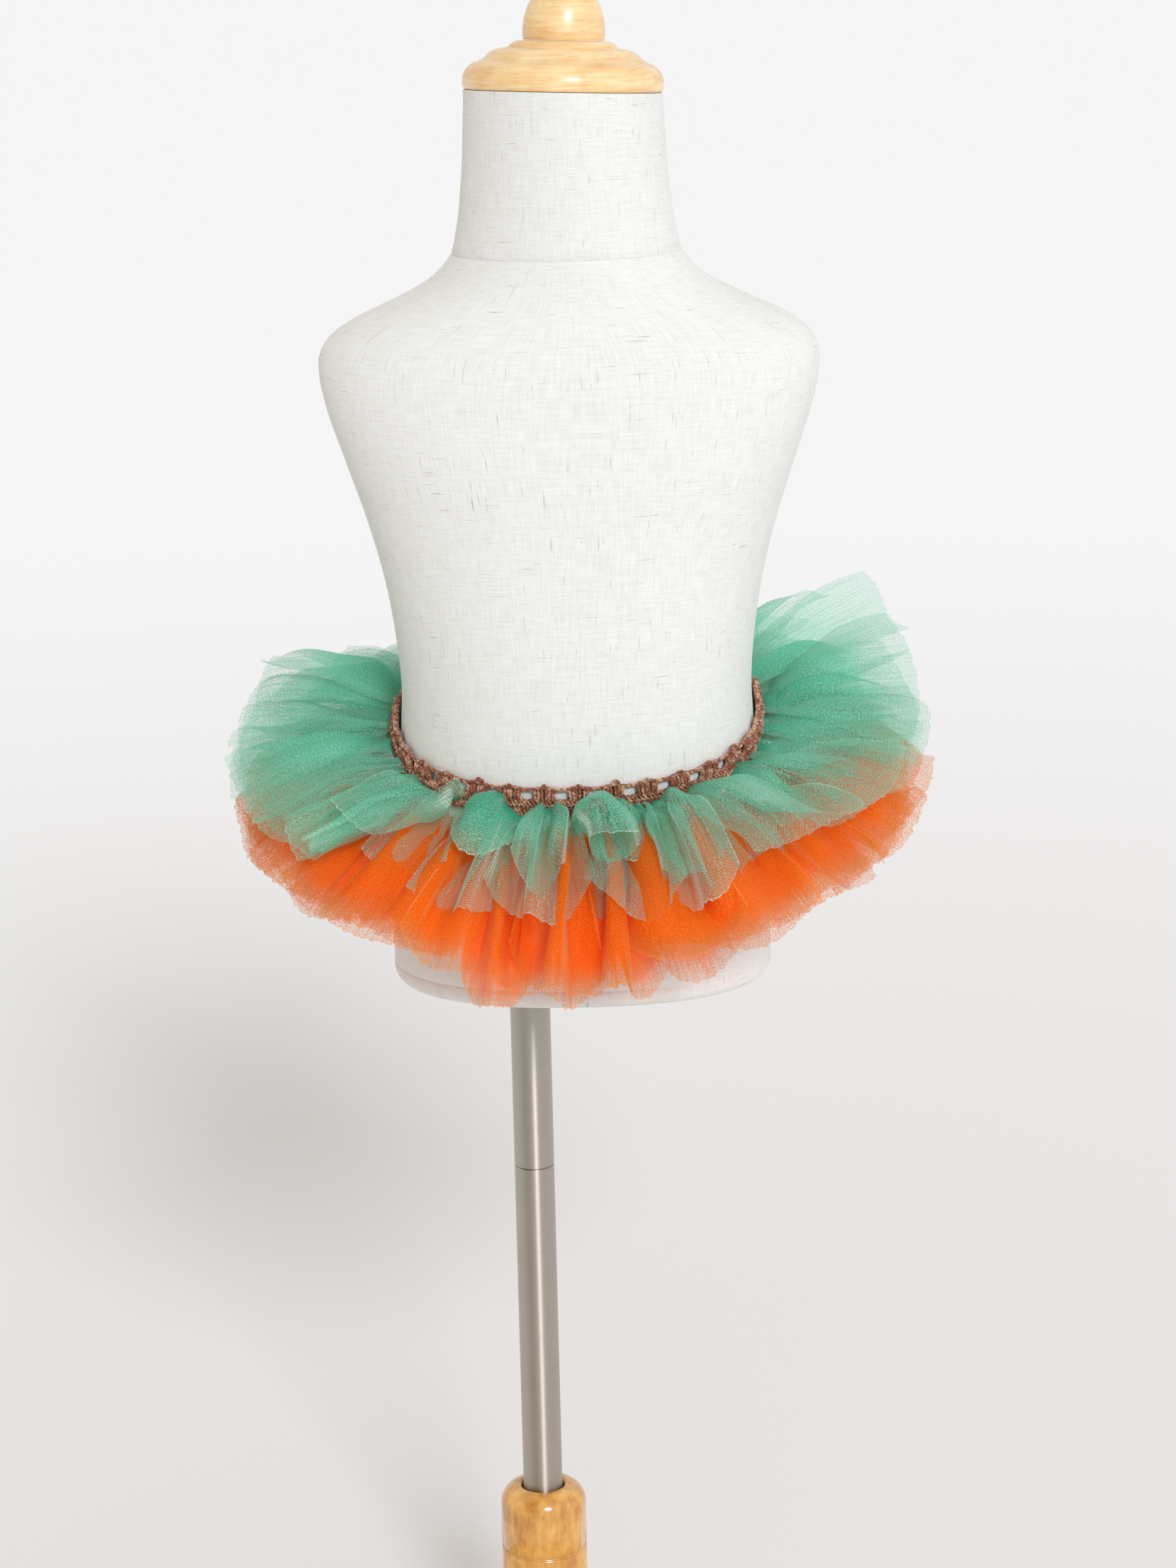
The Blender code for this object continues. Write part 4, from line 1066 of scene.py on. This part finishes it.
# Each colour's cloth and listed tails, its shift along the band in strips, how far below the
# band's middle its heads lie at the side and in front, how round the heads are, how dense
# the thinnest cloth is, how much less dense the front is, and where the tails fade from and
# to: at the side, then the upper and the lower tail in front.
LAYERS = (
    ("orange", orange_tulle, ORANGE_FOLDS, 0.5, (0.0135, 0.0125), 0.4, 0.24, -0.35,
     (0.60, 1.0, 0.84, 1.0, 0.80, 1.0)),
    ("green", green_tulle, GREEN_FOLDS, 0.0, (0.0066, 0.0068), 1.0, 0.06, 0.30,
     (0.50, 1.0, 0.15, 0.60, 0.0, 0.35)),
)
for colour, material, listed, shift, drops, rounding, thin, ease, fades in LAYERS:
    for number in range(STRIPS):
        along = (number + shift) * strip_pitch
        azimuth = math.degrees(float(np.interp(along % WAIST_ROUND, waist_lengths, waist_angles)))
        rough = [rng.uniform(0, 2 * math.pi) for _ in range(6)]
        front_share = max(0.0, -math.sin(math.radians(azimuth))) ** 2
        calm = 1 - 0.6 * (1 - front_share)
        looks = []
        for layer in (0, 1):
            look = {
                "front": front_share,
                "head": between(HEAD_WIDTHS, front_share),
                "root": stance(colour + "_root", azimuth) - 6 * layer + rng.uniform(-2, 2) * calm,
                "hem": stance(colour + "_hem", azimuth) - 3 * layer + rng.uniform(-6, 6) * calm,
                "length": (stance(colour + "_length", azimuth) * rng.uniform(0.95, 1.02)
                           * (0.95 if layer else 1)),
                "width": stance("spread", azimuth) * rng.uniform(0.95, 1.10),
                "yaw": (6 if layer else -6) + rng.uniform(-5, 5) * calm,
                "roll": hem_tilt(colour, azimuth) + rng.uniform(-10, 10) * calm,
                "bow": rng.uniform(-0.001, 0.005),
                "corner": rng.uniform(-0.12, -0.03) * (1 + 2 * front_share),
                "phase": rough[0] + 2 * layer,
                "drift": rng.uniform(-0.6, 0.6),
                "folds": 1.5 + 0.1 * front_share + rng.uniform(-0.25, 0.25),
                "curl": rng.uniform(-0.5, 0.5),
                "lift": between(HEAD_LIFTS, front_share) * (1 - layer),
                "arch": between(HEAD_ARCHES, front_share) * rounding,
                "dense": BODY_DENSITY * rng.uniform(0.9, 1.1) * (1 - ease * front_share),
                "fade": [between(ends, front_share) for ends in zip(fades[:2], fades[2 + 2 * layer:])],
                "thin": thin * (1 - 0.5 * front_share),
                "soft": 0.75 * (1 - front_share),
                # shine and edge scale the crest: the net's opacity there and its painted highlight.
                "shine": 0.35 + 0.65 * front_share,
                "edge": (0.25 + 0.75 * front_share) * (0.5 if layer else 1.0),
                "shift": 0.0,
            }
            look.update(listed.get((number + 1, layer), {}))
            look.setdefault("cloth", 1.03 * look["width"] + (0.080 - 1.03 * look["width"]) * front_share)
            looks.append(look)
        name = f"{colour}_tulle_{number + 1:02d}"
        along += looks[0]["shift"]
        drop = between(drops, front_share)
        piece = make_strip(name, along, looks, rough, material, form_solid, drop)
        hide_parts(f"{colour}_strip_{number + 1:02d}")

# Floor and light
# A pale floor with painted shade, greyer near the form and paler away from it, under an even studio
# sky that is warmer on the left and darker to the left of the camera, with one large, soft, slightly
# cooler lamp in front, 28 degrees up and a little to the right. Light passes NET_LAYERS layers of net.
FLOOR_SIZE = 80.0
# Painted shade: the floor's colour near the form.
FLOOR_PAINTED_SHADE = "ECEAE9"
FLOOR_FAR = "FCFCFE"
LAMP_ELEVATION = 28.0
LAMP_AZIMUTH = -76.0
LAMP_STRENGTH = 1.72
LAMP_COLOUR = "F4F8FF"
LAMP_SOFTNESS = 13.0
SKY_STRENGTH = 0.832
SKY_LEFT = "FCF7EB"
SKY_RIGHT = "FBFCFE"
DARK_SIDE_AZIMUTH = -131.0
DARK_SIDE_SPREAD = 50.0
DARK_SIDE_STRENGTH = 0.16
NET_LAYERS = 40

floor_mesh = bpy.data.meshes.new("floor")
reach = FLOOR_SIZE / 2
floor_mesh.from_pydata([(-reach, -reach, 0), (reach, -reach, 0), (reach, reach, 0), (-reach, reach, 0)], [],
                       [(0, 1, 2, 3)])
floor = add_object("floor", floor_mesh)
floor_paint, floor_tree = start_material("matt white paper")
floor_place = add_node(floor_tree, "TexCoord")
floor_reach = add_node(floor_tree, "VectorMath", links={0: floor_place.outputs["Object"]},
        operation="LENGTH")
# Painted shade round the form: the floor grows paler from 0.3 m to 4 m out.
floor_shade_ramp = add_node(floor_tree, "MapRange", {"From Min": 0.3, "From Max": 4.0},
        {"Value": floor_reach.outputs["Value"]}, interpolation_type="SMOOTHSTEP")
floor_colour = add_node(floor_tree, "Mix", {6: linear(FLOOR_PAINTED_SHADE), 7: linear(FLOOR_FAR)}, {0: floor_shade_ramp},
        data_type="RGBA")
floor_shader = add_node(floor_tree, "BsdfPrincipled", {"Roughness": 0.9, "Specular IOR Level": 0.1},
        {"Base Color": floor_colour.outputs[2]})
add_node(floor_tree, "OutputMaterial", links={"Surface": floor_shader})
floor_mesh.materials.append(floor_paint)

lamp_data = bpy.data.lights.new("soft lamp", "SUN")
lamp_data.energy = LAMP_STRENGTH
lamp_data.color = linear(LAMP_COLOUR)[:3]
lamp_data.angle = math.radians(LAMP_SOFTNESS)
lamp = add_object("soft lamp", lamp_data)
lamp.rotation_euler = (math.radians(90 - LAMP_ELEVATION), 0, math.radians(LAMP_AZIMUTH + 90))

sky = bpy.data.worlds.new("studio")
bpy.context.scene.world = sky
sky.use_nodes = True
sky_tree = sky.node_tree
sky_way = add_node(sky_tree, "TexCoord")
sky_parts = add_node(sky_tree, "SeparateXYZ", links={"Vector": sky_way.outputs["Generated"]})
sky_turn = add_node(sky_tree, "Math", links={0: sky_parts.outputs["Y"], 1: sky_parts.outputs["X"]},
        operation="ARCTAN2")
sky_off = add_node(sky_tree, "Math", {1: math.radians(DARK_SIDE_AZIMUTH)}, {0: sky_turn},
        operation="SUBTRACT")
sky_far = add_node(sky_tree, "Math", links={0: sky_off}, operation="ABSOLUTE")
sky_light = add_node(sky_tree, "MapRange",
        {"From Min": 0.0, "From Max": math.radians(DARK_SIDE_SPREAD),
         "To Min": DARK_SIDE_STRENGTH, "To Max": SKY_STRENGTH},
        {"Value": sky_far}, interpolation_type="SMOOTHSTEP")
sky_shader = sky_tree.nodes["Background"]
sky_side = add_node(sky_tree, "MapRange", {"From Min": -0.7, "From Max": 0.7},
        {"Value": sky_parts.outputs["X"]}, interpolation_type="SMOOTHSTEP")
sky_colour = add_node(sky_tree, "Mix", {6: linear(SKY_LEFT), 7: linear(SKY_RIGHT)}, {0: sky_side},
        data_type="RGBA")
sky_tree.links.new(sky_colour.outputs[2], sky_shader.inputs["Color"])
sky_tree.links.new(sky_light.outputs["Result"], sky_shader.inputs["Strength"])
bpy.context.scene.view_settings.view_transform = "Standard"
bpy.context.scene.cycles.transparent_max_bounces = NET_LAYERS
